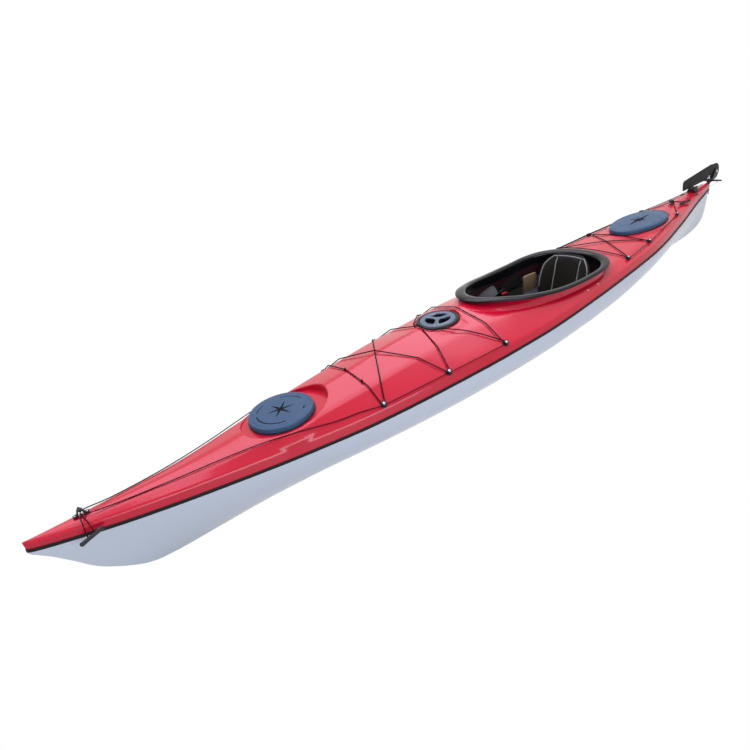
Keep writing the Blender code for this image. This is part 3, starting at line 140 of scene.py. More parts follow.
def add_math(tree: bpy.types.NodeTree, operation: str, *values: object) -> bpy.types.NodeSocket:
    """Add a maths node.

    Args:
        tree: the node tree.
        operation: Blender's name for what it does.
        values: a value or a socket for each input.

    Returns:
        Its output.
    """
    return add_node(tree, "ShaderNodeMath", dict(enumerate(values)), operation=operation).outputs[0]


@dataclass(frozen=True)
class Finish:
    """A surface: what it is made of, how it shines and how it is worked.

    The scales are real sizes in millimetres.
    """

    name: str
    colour: str
    shade: str
    slot: str
    roughness: float = .5
    spread: float = .06
    metallic: float = 0.0
    coat: float = 0.0
    coat_roughness: float = .04
    ior: float = 1.5
    sheen: float = 0.0
    relief: Relief = Relief.GRAIN
    mottle_mm: float = 60.0
    grain_mm: float = 1.0
    depth_mm: float = .05
    wear: float = 0.0
    specular: float = .5

    def material(self) -> bpy.types.Material:
        """Make the material once and hand the same one back later."""
        found = bpy.data.materials.get(self.name)
        if found:
            return found
        made = bpy.data.materials.new(self.name)
        made.use_nodes = True
        tree = made.node_tree
        tree.nodes.clear()
        shader = add_node(tree, "ShaderNodeBsdfPrincipled", {
            "Metallic": self.metallic, "IOR": self.ior, "Coat Weight": self.coat,
            "Coat Roughness": self.coat_roughness, "Sheen Weight": self.sheen, "Sheen Roughness": .45,
            "Specular IOR Level": self.specular})
        place = add_node(tree, "ShaderNodeTexCoord").outputs["Object"]
        mottle = add_node(tree, "ShaderNodeTexNoise",
                          {"Vector": place, "Scale": 1000 / self.mottle_mm, "Detail": 4.0})
        tone = add_node(tree, "ShaderNodeMix", {"Factor": mottle.outputs["Fac"]}, data_type="RGBA")
        for socket, code in ((tone.inputs[6], self.colour), (tone.inputs[7], self.shade)):
            socket.default_value = linear(code)
        colour = tone.outputs[2]
        height = self.worked(tree, place)
        # Woven and braided finishes are darkened in the low parts of their relief: painted shade between the
        # threads
        if self.relief in (Relief.WEAVE, Relief.BRAID):
            dark = add_node(tree, "ShaderNodeMix", {"Factor": height}, data_type="RGBA", blend_type="MIX")
            dark.inputs[6].default_value = tuple(c * .45 for c in linear(self.shade)[:3]) + (1.0,)
            tree.links.new(colour, dark.inputs[7])
            colour = dark.outputs[2]
        rough = add_node(tree, "ShaderNodeMapRange", {
            "Value": mottle.outputs["Fac"], "From Min": .3, "From Max": .7,
            "To Min": max(.02, self.roughness - self.spread),
            "To Max": min(1.0, self.roughness + self.spread)})
        roughness = rough.outputs["Result"]
        if self.wear:
            colour, roughness = self.scuffed(tree, place, colour, roughness)
        bump = add_node(tree, "ShaderNodeBump", {"Height": height, "Strength": 1.0,
                                                 "Distance": self.depth_mm / 1000})
        tree.links.new(colour, shader.inputs["Base Color"])
        tree.links.new(roughness, shader.inputs["Roughness"])
        tree.links.new(bump.outputs["Normal"], shader.inputs["Normal"])
        out = add_node(tree, "ShaderNodeOutputMaterial")
        tree.links.new(shader.outputs["BSDF"], out.inputs["Surface"])
        made.diffuse_color = linear(self.colour)
        return made

    def worked(self, tree: bpy.types.NodeTree, place: bpy.types.NodeSocket) -> bpy.types.NodeSocket:
        """Draw the relief.

        Args:
            tree: the material's tree.
            place: object coordinates.

        Returns:
            A height from 0 to 1.
        """
        scale = 1000 / self.grain_mm
        if self.relief is Relief.GRAIN:
            grain = add_node(tree, "ShaderNodeTexNoise", {"Vector": place, "Scale": scale, "Detail": 3.0})
            return grain.outputs["Fac"]
        if self.relief is Relief.BRUSHED:
            drawn = add_node(tree, "ShaderNodeMapping",
                             {"Vector": place, "Scale": (scale * .04, scale, scale)})
            grain = add_node(tree, "ShaderNodeTexNoise",
                             {"Vector": drawn.outputs["Vector"], "Scale": 1.0, "Detail": 2.0})
            return grain.outputs["Fac"]
        threads = []
        if self.relief is Relief.BRAID:
            along = add_node(tree, "ShaderNodeUVMap", uv_map="cord").outputs["UV"]
            turn = add_node(tree, "ShaderNodeMapping", {"Vector": along, "Scale": (scale / 2, 1.0, 1.0)})
            for lean in (1.0, -1.0):
                skew = add_node(tree, "ShaderNodeVectorMath", {
                    0: turn.outputs["Vector"], 1: (1.0, 4.0 * lean, 0.0)}, operation="DOT_PRODUCT")
                wave = add_math(tree, "MULTIPLY", skew.outputs["Value"], 2 * math.pi)
                threads.append(add_math(tree, "SINE", wave))
        else:
            split = add_node(tree, "ShaderNodeSeparateXYZ", {"Vector": place})
            for axis in ("X", "Y"):
                wave = add_math(tree, "MULTIPLY", split.outputs[axis], math.pi * scale)
                threads.append(add_math(tree, "SINE", wave))
        both = add_math(tree, "MULTIPLY", *threads)
        crossed = add_node(tree, "ShaderNodeMapRange", {"Value": both, "From Min": -1.0, "From Max": 1.0})
        return crossed.outputs["Result"]

    def scuffed(self, tree: bpy.types.NodeTree, place: bpy.types.NodeSocket, colour: bpy.types.NodeSocket,
                roughness: bpy.types.NodeSocket) -> tuple[bpy.types.NodeSocket, bpy.types.NodeSocket]:
        """Add long thin scuffs that run fore and aft low on the shell, where it meets the beach.

        Args:
            tree: the material's tree.
            place: object coordinates.
            colour: the clean colour.
            roughness: the clean roughness.

        Returns:
            The worn colour and roughness.
        """
        drawn = add_node(tree, "ShaderNodeMapping", {"Vector": place, "Scale": (6.0, 260.0, 260.0)})
        marks = add_node(tree, "ShaderNodeTexNoise",
                         {"Vector": drawn.outputs["Vector"], "Scale": 1.0, "Detail": 2.0})
        thin = add_node(tree, "ShaderNodeMapRange",
                        {"Value": marks.outputs["Fac"], "From Min": .62, "From Max": .70})
        height = add_node(tree, "ShaderNodeSeparateXYZ", {"Vector": place}).outputs["Z"]
        low = add_node(tree, "ShaderNodeMapRange", {"Value": height, "From Min": .07, "From Max": .0,
                                                    "To Min": 0.0, "To Max": self.wear})
        mask = add_math(tree, "MULTIPLY", thin.outputs["Result"], low.outputs["Result"])
        worn = add_node(tree, "ShaderNodeMix", {"Factor": mask}, data_type="RGBA")
        tree.links.new(colour, worn.inputs[6])
        worn.inputs[7].default_value = linear("#8E9096")
        dull = add_node(tree, "ShaderNodeMath", {0: roughness, 1: mask}, operation="ADD", use_clamp=True)
        return worn.outputs[2], dull.outputs[0]


# Polyester gelcoat polished off the mould: a deep wet red with a faint orange peel under a clear gloss
RED_GELCOAT = Finish("red_polyester_gelcoat", "#C20A30", "#B9082A", "red_gelcoat", roughness=.28,
                     coat=.45, coat_roughness=.12, specular=.20, grain_mm=9.0, depth_mm=.035,
                     mottle_mm=420, spread=.04)
# The same gelcoat in cold white: a bluish white that goes grey where it turns away, scuffed along the keel
WHITE_GELCOAT = Finish("white_polyester_gelcoat", "#C8D1DB", "#C1CBD6", "white_gelcoat", roughness=.30,
                       coat=.3, coat_roughness=.06, specular=.25, grain_mm=9.0, depth_mm=.03,
                       mottle_mm=500, wear=.35)
# Black gelcoat over the coaming's laminate: near black with a blue-grey gloss along every edge
BLACK_GELCOAT = Finish("black_polyester_gelcoat", "#090A0C", "#0E1013", "black_gelcoat", roughness=.20,
                       coat=.22, coat_roughness=.06, specular=.09, grain_mm=6.0, depth_mm=.04,
                       mottle_mm=120)
# Extruded vinyl band over the joint: satin black with a fine drawn grain along the boat
SEAM_VINYL = Finish("extruded_black_vinyl", "#070708", "#0C0C0D", "black_seam_tape", roughness=.5,
                    specular=.2, relief=Relief.BRUSHED, grain_mm=.8, depth_mm=.03)
# Moulded hatch rubber: slate grey, dusty and matt, with the faint stipple of the mould
HATCH_RUBBER = Finish("moulded_hatch_rubber", "#2B4966", "#335270", "hatch_rubber", roughness=.40,
                      grain_mm=1.6, depth_mm=.10, mottle_mm=45, specular=.25, spread=.10)
# Injection-moulded ABS of the small hatch: harder and glossier than rubber, blue-grey highlights
HATCH_ABS = Finish("moulded_hatch_abs", "#0C0E11", "#121519", "black_nylon", roughness=.26, grain_mm=1.2,
                   depth_mm=.05, mottle_mm=50, specular=.2)
# The screw lid's upper faces: black ABS tinted slate blue as a painted sky reflection, and shinier than its
# black rim
PAINTED_REFLECTION_ABS = Finish("moulded_slate_abs", "#37506B", "#405A76", "hatch_rubber", roughness=.18, grain_mm=1.2,
                   depth_mm=.04, mottle_mm=50, specular=.5, coat=.3)
# Unpigmented laminate under the deck: the red gelcoat shows through it as a dark wine brown
DECK_LAMINATE = Finish("bare_deck_laminate", "#2A0B10", "#34121A", "glass_laminate", roughness=.5,
                       relief=Relief.WEAVE, grain_mm=5.0, depth_mm=.3, mottle_mm=140, specular=.25)
# Injection-moulded glass-filled nylon: black with a spark-eroded stipple and a soft shine
BLACK_NYLON = Finish("moulded_black_nylon", "#0C0C0D", "#121213", "black_nylon", roughness=.42,
                     grain_mm=.9, depth_mm=.06, mottle_mm=30, specular=.3)
# Red nylon of the ratchet levers: bright, with a soft shine
RED_NYLON = Finish("moulded_red_nylon", "#B4232C", "#9E1B24", "red_plastic", roughness=.36, grain_mm=.9,
                   depth_mm=.05, mottle_mm=20)
# Acetal buckle, off-white and waxy
WHITE_ACETAL = Finish("moulded_white_acetal", "#D9D8D3", "#C9C8C2", "black_nylon", roughness=.34,
                      grain_mm=.8, depth_mm=.04, mottle_mm=20)
# Solution-dyed polyester braid over rubber strands: black diamonds, drawn 1.6 mm long so that they show
CORD_BRAID = Finish("braided_polyester_cord", "#100A0D", "#191115", "shock_cord", roughness=.72,
                    relief=Relief.BRAID, grain_mm=3.2, depth_mm=.28, specular=.12, mottle_mm=25)
# 500-denier pack cloth: black plain weave, drawn 1.3 mm to the thread so that it shows, faintly dusty
PACK_CLOTH = Finish("woven_pack_cloth", "#16160F", "#1E1E17", "seat_fabric", roughness=.86,
                    relief=Relief.WEAVE, grain_mm=1.3, depth_mm=.22, sheen=.08, specular=.15,
                    mottle_mm=70)
# Woven tape folded over a cord: light grey piping with visible ribs
PIPING_TAPE = Finish("woven_piping_tape", "#8E9092", "#A9ABAD", "seat_fabric", roughness=.8,
                     relief=Relief.BRAID, grain_mm=2.4, depth_mm=.20, sheen=.2, mottle_mm=18)
# Cross-linked polyethylene foam: charcoal skin with fine closed cells
CELL_FOAM = Finish("closed_cell_foam", "#121417", "#1A1C20", "closed_cell_foam", roughness=.84,
                   grain_mm=1.1, depth_mm=.18, mottle_mm=16, specular=.15)
# Bonded foam side panel of the seat: warm tan, matt, crumbed
TAN_PANEL = Finish("bonded_tan_foam", "#7E6A4C", "#94805F", "closed_cell_foam", roughness=.82,
                   grain_mm=2.2, depth_mm=.22, mottle_mm=9)
# A4 stainless steel, turned and polished, with fine tool lines
STAINLESS = Finish("polished_stainless", "#C6C8CB", "#B6B8BC", "stainless_steel", roughness=.24,
                   metallic=1.0, relief=Relief.BRUSHED, grain_mm=.5, depth_mm=.02, mottle_mm=15)
# Black anodised extrusion: dark metal with a drawn grain
BLACK_ANODISED = Finish("anodised_aluminium", "#2A2B2E", "#35363A", "anodised_aluminium", roughness=.36,
                        metallic=1.0, relief=Relief.BRUSHED, grain_mm=.6, depth_mm=.03)
# Powder-coated blade: matt black with the fine orange peel of the powder
POWDER_BLACK = Finish("powder_coated_aluminium", "#0B0B0C", "#101011", "black_nylon", roughness=.55,
                      grain_mm=1.4, depth_mm=.07, mottle_mm=50, specular=.2)
# Inside of the shells: pale flow coat brushed over woven roving, whose coarse weave prints through
ROVING = Finish("flow_coated_roving", "#D4D9E6", "#C6CCDA", "glass_laminate", roughness=.5,
                relief=Relief.WEAVE, grain_mm=5.0, depth_mm=.35, mottle_mm=140)
# Thermoformed polyethylene of the pod
POD_SHEET = Finish("thermoformed_pod_sheet", "#17181A", "#1F2022", "pod_plastic", roughness=.55,
                   grain_mm=2.0, depth_mm=.10, mottle_mm=60)
# Floor of the lids' star and arcs: the same rubber, darkened as painted shade in the recesses
PAINTED_SHADE_RUBBER = Finish("shaded_groove_rubber", "#070B10", "#0A0F15", "hatch_rubber", roughness=.8,
                       grain_mm=1.6, depth_mm=.08, mottle_mm=30, specular=.15)


# Mesh tools

def around(count: int) -> list[tuple[float, float]]:
    """Cosine and sine of evenly spaced angles round a circle."""
    return [(math.cos(2 * math.pi * i / count), math.sin(2 * math.pi * i / count)) for i in range(count)]


def cad(name: str) -> bpy.types.Mesh:
    """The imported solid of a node."""
    return frame["nodes"][name].data


def add_piece(name: str, mesh: bpy.types.Mesh, *finishes: Finish) -> bpy.types.Object:
    """Link a new object with its finishes.

    Args:
        name: the piece's name.
        mesh: its mesh.
        finishes: its finishes, in the order of the faces' material numbers.

    Returns:
        The object.
    """
    made = bpy.data.objects.new(name, mesh)
    bpy.context.scene.collection.objects.link(made)
    for finish in finishes:
        mesh.materials.append(finish.material())
    return made


def build_mesh(name: str, verts: Iterable[Point], faces: Iterable[Sequence[int]], smooth: float = 40.0,
               merge: bool = True, materials: Optional[Sequence[int]] = None) -> bpy.types.Mesh:
    """Make a mesh whose faces point outwards, shaded smooth up to an angle.

    Args:
        name: the mesh's name.
        verts: its points.
        faces: its faces, as point numbers.
        smooth: the angle in degrees past which an edge is sharp.
        merge: whether doubled points are merged and the faces turned outwards.
        materials: the material number of each face.

    Returns:
        The mesh.
    """
    mesh = bpy.data.meshes.new(name)
    mesh.from_pydata([tuple(v) for v in verts], [], [tuple(f) for f in faces])
    if materials is not None:
        mesh.polygons.foreach_set("material_index", list(materials))
    if merge:
        bm = bmesh.new()
        bm.from_mesh(mesh)
        bmesh.ops.remove_doubles(bm, verts=bm.verts, dist=1e-6)
        bmesh.ops.dissolve_degenerate(bm, edges=bm.edges, dist=1e-7)
        bmesh.ops.recalc_face_normals(bm, faces=bm.faces)
        bm.to_mesh(mesh)
        bm.free()
    mesh.shade_smooth()
    mesh.set_sharp_from_angle(angle=math.radians(smooth))
    return mesh


def loft(rings: Sequence[Ring], closed_path: bool = False) -> tuple[list, list]:
    """Skin over rings of equal count.

    Args:
        rings: loops of points.
        closed_path: whether the last ring joins the first; otherwise both ends are capped.

    Returns:
        Points and faces.
    """
    count = len(rings[0])
    verts = [v for ring in rings for v in ring]
    faces = []
    for i in range(len(rings) if closed_path else len(rings) - 1):
        a, b = i * count, ((i + 1) % len(rings)) * count
        faces += [(a + j, a + (j + 1) % count, b + (j + 1) % count, b + j) for j in range(count)]
    if not closed_path:
        faces.append(tuple(range(count)))
        faces.append(tuple((len(rings) - 1) * count + j for j in range(count)))
    return verts, faces


def turned(profile: Sequence[tuple[float, float]], centre: Point, a: float = 0.0, b: float = 0.0,
           segments: int = 128) -> list[Ring]:
    """Rings of a body turned about +Z, one for each step round.

    Args:
        profile: closed outline as (radius, height).
        centre: middle of the body.
        a: added to the radius along X.
        b: added to the radius along Y.
        segments: steps round.

    Returns:
        The rings, for a loft on a closed path.
    """
    rings = []
    for c, s in around(segments):
        rings.append([(centre[0] + (a + r) * c, centre[1] + (b + r) * s, centre[2] + z) for r, z in profile])
    return rings


def carve(target: bpy.types.Object, operation: str, verts: list, faces: list) -> None:
    """Apply a Boolean with a cutter that is made for it and thrown away.

    Args:
        target: the piece.
        operation: DIFFERENCE or UNION.
        verts: the cutter's points.
        faces: its faces.
    """
    cutter = bpy.data.objects.new("cutter", build_mesh("cutter", verts, faces))
    bpy.context.scene.collection.objects.link(cutter)
    for material in target.data.materials:
        cutter.data.materials.append(material)
    step = target.modifiers.new("carve", "BOOLEAN")
    step.operation, step.solver, step.object = operation, "EXACT", cutter
    step.use_hole_tolerant = True
    apply_modifiers(target)
    bpy.data.objects.remove(cutter, do_unlink=True)


def apply_modifiers(piece: bpy.types.Object) -> None:
    """Turn a piece with modifiers into a plain mesh, with the modifiers gone."""
    graph = bpy.context.evaluated_depsgraph_get()
    plain = bpy.data.meshes.new_from_object(piece.evaluated_get(graph), preserve_all_data_layers=True,
                                            depsgraph=graph)
    old = piece.data
    piece.modifiers.clear()
    piece.data = plain
    plain.name = piece.name
    bpy.data.meshes.remove(old)


def shade(piece: bpy.types.Object, angle: float) -> None:
    """Shade a piece smooth up to an angle in degrees."""
    piece.data.shade_smooth()
    piece.data.set_sharp_from_angle(angle=math.radians(angle))


def hand_over(piece: bpy.types.Object, body: str, *nodes: str, slot: str) -> None:
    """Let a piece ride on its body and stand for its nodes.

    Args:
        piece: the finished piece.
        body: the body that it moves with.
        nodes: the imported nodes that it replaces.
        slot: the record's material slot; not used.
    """
    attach(piece, body)
    if nodes:
        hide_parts(*nodes)
    LOG.info("%s rides on %s, %d faces", piece.name, body, len(piece.data.polygons))


def softened(name: str, solid: bpy.types.Mesh, finish: Finish, width: float, angle: float = 25.0,
             smooth: float = 40.0) -> bpy.types.Object:
    """Copy a solid and round its edges.

    Args:
        name: the new piece's name.
        solid: the mesh that is copied.
        finish: its finish.
        width: the rounding's width.
        angle: the least angle of an edge that is rounded.
        smooth: the shading angle.

    Returns:
        The piece.
    """
    bm = bmesh.new()
    bm.from_mesh(solid)
    bmesh.ops.remove_doubles(bm, verts=bm.verts, dist=2e-6)
    bmesh.ops.dissolve_limit(bm, angle_limit=math.radians(1.5), verts=bm.verts, edges=bm.edges)
    sharp = [e for e in bm.edges if len(e.link_faces) == 2 and e.calc_face_angle(0) > math.radians(angle)]
    bmesh.ops.bevel(bm, geom=sharp, offset=width, segments=3, profile=.6, affect="EDGES", clamp_overlap=True)
    mesh = bpy.data.meshes.new(name)
    bm.to_mesh(mesh)
    bm.free()
    mesh.shade_smooth()
    mesh.set_sharp_from_angle(angle=math.radians(smooth))
    return add_piece(name, mesh, finish)


def smooth_path(route: Sequence[Point], spacing: float) -> list[Vector]:
    """Points a set distance apart on a smooth curve through a route.

    Args:
        route: the points that the curve passes.
        spacing: distance between the new points.

    Returns:
        The new points, ends included.
    """
    pts = [Vector(p) for p in route]
    ends = [2 * pts[0] - pts[1]] + pts + [2 * pts[-1] - pts[-2]]
    dense: list[Vector] = []
    for p0, p1, p2, p3 in zip(ends, ends[1:], ends[2:], ends[3:]):
        t1 = max((p1 - p0).length, 1e-5) ** .5
        t2 = max((p2 - p1).length, 1e-5) ** .5
        t3 = max((p3 - p2).length, 1e-5) ** .5
        m1 = (p1 - p0) / t1 - (p2 - p0) / (t1 + t2) + (p2 - p1) / t2
        m2 = (p2 - p1) / t2 - (p3 - p1) / (t2 + t3) + (p3 - p2) / t3
        steps = max(2, round((p2 - p1).length / spacing * 2))
        for k in range(steps):
            t = k / steps
            h = ((1 + 2 * t) * (1 - t) ** 2, t * (1 - t) ** 2, t * t * (3 - 2 * t), t * t * (t - 1))
            dense.append(p1 * h[0] + m1 * (t2 * h[1]) + p2 * h[2] + m2 * (t2 * h[3]))
    dense.append(pts[-1])
    run = np.concatenate([[0], np.cumsum([(b - a).length for a, b in zip(dense, dense[1:])])])
    count = max(2, round(float(run[-1]) / spacing) + 1)
    flat = np.array([tuple(p) for p in dense])
    at = np.linspace(0, run[-1], count)
    return [Vector([float(np.interp(d, run, flat[:, k])) for k in range(3)]) for d in at]


def cord_piece(name: str, path: Sequence[Vector], radius: float, finish: Finish, sides: int = 10,
               closed: bool = False, taper: Optional[Callable[[float], float]] = None) -> bpy.types.Object:
    """Sweep a round cord along a path, with a map that runs along it in metres for the braid.

    Args:
        name: the piece's name.
        path: the points of its middle.
        radius: its radius.
        finish: its finish.
        sides: points round it.
        closed: whether its end joins its start.
        taper: factor on the radius from the start, 0, to the end, 1.

    Returns:
        The piece.
    """
    count = len(path)
    run = [0.0]
    for a, b in zip(path, path[1:]):
        run.append(run[-1] + (b - a).length)
    verts, normal = [], None
    frames = []
    for k, point in enumerate(path):
        before = path[k - 1] if closed or k else path[0]
        after = path[(k + 1) % count] if closed or k < count - 1 else path[-1]
        ahead = (after - before).normalized()
        normal = ahead.orthogonal() if normal is None else normal - ahead * normal.dot(ahead)
        normal.normalize()
        frames.append((point, ahead, normal.copy()))
    twist = 0.0
    if closed:
        point, ahead, first = frames[0]
        last = frames[-1][2] - ahead * frames[-1][2].dot(ahead)
        twist = math.atan2(ahead.dot(last.cross(first)), last.dot(first))
    for k, (point, ahead, normal) in enumerate(frames):
        across = ahead.cross(normal)
        size = radius * (taper(k / (count - 1)) if taper else 1.0)
        lean = twist * k / count
        for j in range(sides):
            a = 2 * math.pi * j / sides + lean
            verts.append(point + (normal * math.cos(a) + across * math.sin(a)) * size)
    faces, maps = [], []
    for k in range(count if closed else count - 1):
        a, b = k * sides, (k + 1) % count * sides
        u0, u1 = run[k], run[k + 1] if k + 1 < count else run[k] + (path[0] - path[-1]).length
        for j in range(sides):
            faces.append((a + j, a + (j + 1) % sides, b + (j + 1) % sides, b + j))
            maps.append([(u0, j / sides), (u0, (j + 1) / sides), (u1, (j + 1) / sides), (u1, j / sides)])
    if not closed:
        faces.append(tuple(reversed(range(sides))))
        maps.append([(0.0, j / sides) for j in reversed(range(sides))])
        faces.append(tuple((count - 1) * sides + j for j in range(sides)))
        maps.append([(run[-1], j / sides) for j in range(sides)])
    mesh = build_mesh(name, verts, faces, smooth=60, merge=False)
    layer = mesh.uv_layers.new(name="cord")
    layer.data.foreach_set("uv", [c for corner in maps for uv in corner for c in uv])
    return add_piece(name, mesh, finish)


def join(name: str, pieces: Sequence[bpy.types.Object]) -> bpy.types.Object:
    """Join pieces into one and give it a name.

    Args:
        name: the joined piece's name.
        pieces: what it is made of.

    Returns:
        The joined piece.
    """
    with bpy.context.temp_override(active_object=pieces[0], object=pieces[0], selected_objects=list(pieces),
                                   selected_editable_objects=list(pieces)):
        bpy.ops.object.join()
    pieces[0].name = pieces[0].data.name = name
    return pieces[0]


# Lines of the boat

@dataclass(frozen=True)
class FairCurve:
    """A smooth curve through points that never overshoots them."""

    points: tuple[tuple[float, float], ...]

    def __call__(self, x: float) -> float:
        """The curve's value at x."""
        xs, ys, slope = self._parts()
        x = min(max(x, xs[0]), xs[-1])
        i = min(int(np.searchsorted(xs, x, side="right")) - 1, len(xs) - 2)
        run = xs[i + 1] - xs[i]
        t = (x - xs[i]) / run
        return float((1 + 2 * t) * (1 - t) ** 2 * ys[i] + t * (1 - t) ** 2 * run * slope[i]
                     + t * t * (3 - 2 * t) * ys[i + 1] + t * t * (t - 1) * run * slope[i + 1])

    def _parts(self) -> tuple[np.ndarray, np.ndarray, np.ndarray]:
        """Abscissae, values and slopes, worked out once."""
        found = _SLOPES.get(self.points)
        if found is None:
            xs, ys = (np.array([p[k] for p in self.points], float) for k in (0, 1))
            run = np.diff(xs)
            rise = np.diff(ys) / run
            slope = np.zeros_like(ys)
            slope[0], slope[-1] = rise[0], rise[-1]
            for i in range(1, len(xs) - 1):
                if rise[i - 1] * rise[i] > 0:
                    w1, w2 = 2 * run[i] + run[i - 1], run[i] + 2 * run[i - 1]
                    slope[i] = (w1 + w2) / (w1 / rise[i - 1] + w2 / rise[i])
            found = _SLOPES[self.points] = (xs, ys, slope)
        return found


_SLOPES: dict = {}


@dataclass(frozen=True)
class HatchPlace:
    """Where a hatch sits, and the size of its lid and of the moulded pad round it."""

    x: float
    seat: float
    a: float
    b: float
    pad_x: float
    pad_a: float
    pad_b: float
    inset: float = .0165


@dataclass(frozen=True)
class BoatLines:
    """The shape of the shells: curves along the boat, as in the part's own source."""

    bow_x: float = -2.222
    stern_x: float = 2.086
    laminate: float = .004
    joint: float = .0016
    inner_bow_x: float = -2.080
    inner_stern_x: float = 1.985
    half_beam: FairCurve = FairCurve((
        (-2.222, .005), (-2.205, .012), (-2.150, .026), (-2.100, .036), (-1.900, .071), (-1.680, .112),
        (-1.280, .190), (-1.000, .241), (-.650, .282), (-.300, .309), (0, .318), (.350, .303), (.700, .274),
        (1.030, .238), (1.480, .148), (1.850, .062), (1.980, .038), (2.040, .026), (2.070, .017),
        (2.086, .006)))
    seam_z: FairCurve = FairCurve((
        (-2.222, .318), (-2.100, .298), (-1.900, .268), (-1.680, .247), (-1.280, .225), (-1.000, .220),
        (-.300, .224), (.350, .234), (1.030, .246), (1.480, .266), (1.850, .293), (2.086, .317)))
    keel_z: FairCurve = FairCurve((
        (-2.222, .300), (-2.205, .285), (-2.135, .199), (-2.085, .131), (-2.030, .083), (-1.990, .055),
        (-1.943, .029), (-1.900, .016), (-1.784, .006), (-1.500, 0), (.700, 0), (1.000, .012), (1.350, .033),
        (1.600, .048), (1.843, .060), (1.964, .080), (2.022, .103), (2.060, .140), (2.077, .180),
        (2.086, .240)))
    keel_flat: FairCurve = FairCurve((
        (-2.222, .0015), (-1.200, .002), (-.600, .030), (.600, .030), (1.100, .002), (2.086, .0015)))
    width_power: FairCurve = FairCurve(((-2.222, 1.05), (-1.900, 1.10), (-1.280, 1.30), (-.300, 1.60),
                                        (.350, 1.60), (1.030, 1.40), (1.850, 1.10), (2.086, 1.05)))
    depth_power: FairCurve = FairCurve(((-2.222, 1.30), (-1.900, 1.35), (-1.280, 2.00), (-.300, 2.60),
                                        (.350, 2.60), (1.030, 2.20), (1.850, 1.50), (2.086, 1.30)))
    ridge_z: FairCurve = FairCurve((
        (-2.222, .352), (-2.100, .343), (-1.900, .331), (-1.680, .325), (-1.280, .341), (-1.000, .357),
        (-.650, .380), (-.300, .384), (0, .368), (.350, .330), (.700, .312), (1.030, .321), (1.480, .332),
        (1.850, .346), (2.086, .357)))
    crease_y: FairCurve = FairCurve((
        (-2.222, .0025), (-2.100, .016), (-1.900, .036), (-1.680, .064), (-1.280, .132), (-1.000, .146),
        (-.650, .157), (-.300, .177), (0, .215), (.350, .226), (.700, .192), (1.030, .162), (1.250, .142),
        (1.480, .096), (1.850, .036), (2.086, .003)))
    crease_z: FairCurve = FairCurve((
        (-2.222, .349), (-2.100, .339), (-1.900, .325), (-1.680, .314), (-1.280, .318), (-1.000, .331),
        (-.650, .346), (-.300, .345), (0, .318), (.350, .300), (.700, .300), (1.030, .306), (1.250, .311),
        (1.480, .322), (1.850, .338), (2.086, .354)))
    edge_inset: FairCurve = FairCurve((
        (-2.222, .0015), (-2.100, .006), (-1.680, .010), (-.300, .013), (1.030, .012), (1.850, .008),
        (2.086, .0015)))
    side_strip: FairCurve = FairCurve((
        (-2.222, .024), (-2.100, .030), (-1.680, .040), (-.650, .043), (0, .033), (.350, .033), (1.030, .042),
        (1.480, .042), (1.850, .038), (2.086, .031)))
    keel_fill: FairCurve = FairCurve(((-2.222, .030), (-1.600, .022), (-1.000, .004), (1.000, .004),
                                      (1.600, .016), (2.086, .030)))
    lip_z: FairCurve = FairCurve(((-.300, .404), (-.180, .394), (-.090, .378), (.026, .360), (.140, .345),
                                  (.260, .336), (.380, .332), (.500, .332), (.600, .334), (.720, .337)))
    collar_foot: FairCurve = FairCurve(((-.2513, -.42), (-.190, -.30), (-.119, -.10), (0, .22), (.130, .52),
                                        (.280, .64), (.7003, .68)))
    fore: HatchPlace = HatchPlace(-1.284, .316, .133, .133, -1.268, .188, .1395)
    aft: HatchPlace = HatchPlace(1.250, .318, .226, .1325, 1.252, .243, .1395)
    day: HatchPlace = HatchPlace(-.427, .370, .102, .102, -.427, .106, .106, .024)
    pad_wall: float = .005
    pad_flare: float = .030
    pad_depth: float = .034

    @property
    def hatches(self) -> tuple[HatchPlace, HatchPlace, HatchPlace]:
        """The three hatches."""
        return self.fore, self.aft, self.day

    def inner_x(self, x: float) -> float:
        """The station of the inner face that matches one of the outer face."""
        part = (x - self.bow_x) / (self.stern_x - self.bow_x)
        return self.inner_bow_x + part * (self.inner_stern_x - self.inner_bow_x)

    def hull_half(self, x: float, skin: float = 0.0, fill: float = 0.0, steps: int = 26) -> list:
        """Half section of the hull, from the seam down to the flat of the keel.

        Args:
            x: the station.
            skin: how far inside the outer face.
            fill: how far above the keel.
            steps: faces down the half section.

        Returns:
            Points as (x, y, z).
        """
        beam = self.half_beam(x) - skin
        top, bottom = self.seam_z(x) - self.joint / 2, self.keel_z(x) + fill
        flat = min(self.keel_flat(x), beam * .5)
        pw, pd = 2 / self.width_power(x), 2 / self.depth_power(x)
        half = []
        for i in range(steps + 1):
            angle = math.pi / 2 * i / steps
            half.append((x, flat + (beam - flat) * max(math.cos(angle), 0) ** pw,
                         top + (bottom - top) * math.sin(angle) ** pd))
        half[-1] = (x, flat, bottom)
        return half

    def deck_corners(self, x: float) -> list:
        """Corners of the deck's half section as (y, z), from the seam to the ridge."""
        beam = self.half_beam(x)
        edge = beam - self.edge_inset(x)
        crease = min(self.crease_y(x), edge * .96)
        middle = self.ridge_z(x) * .55 + self.crease_z(x) * .45
        return [(beam, self.seam_z(x) + self.joint / 2), (edge, self.seam_z(x) + self.side_strip(x)),
                (crease, self.crease_z(x)), (crease * .5, middle), (0.0, self.ridge_z(x))]

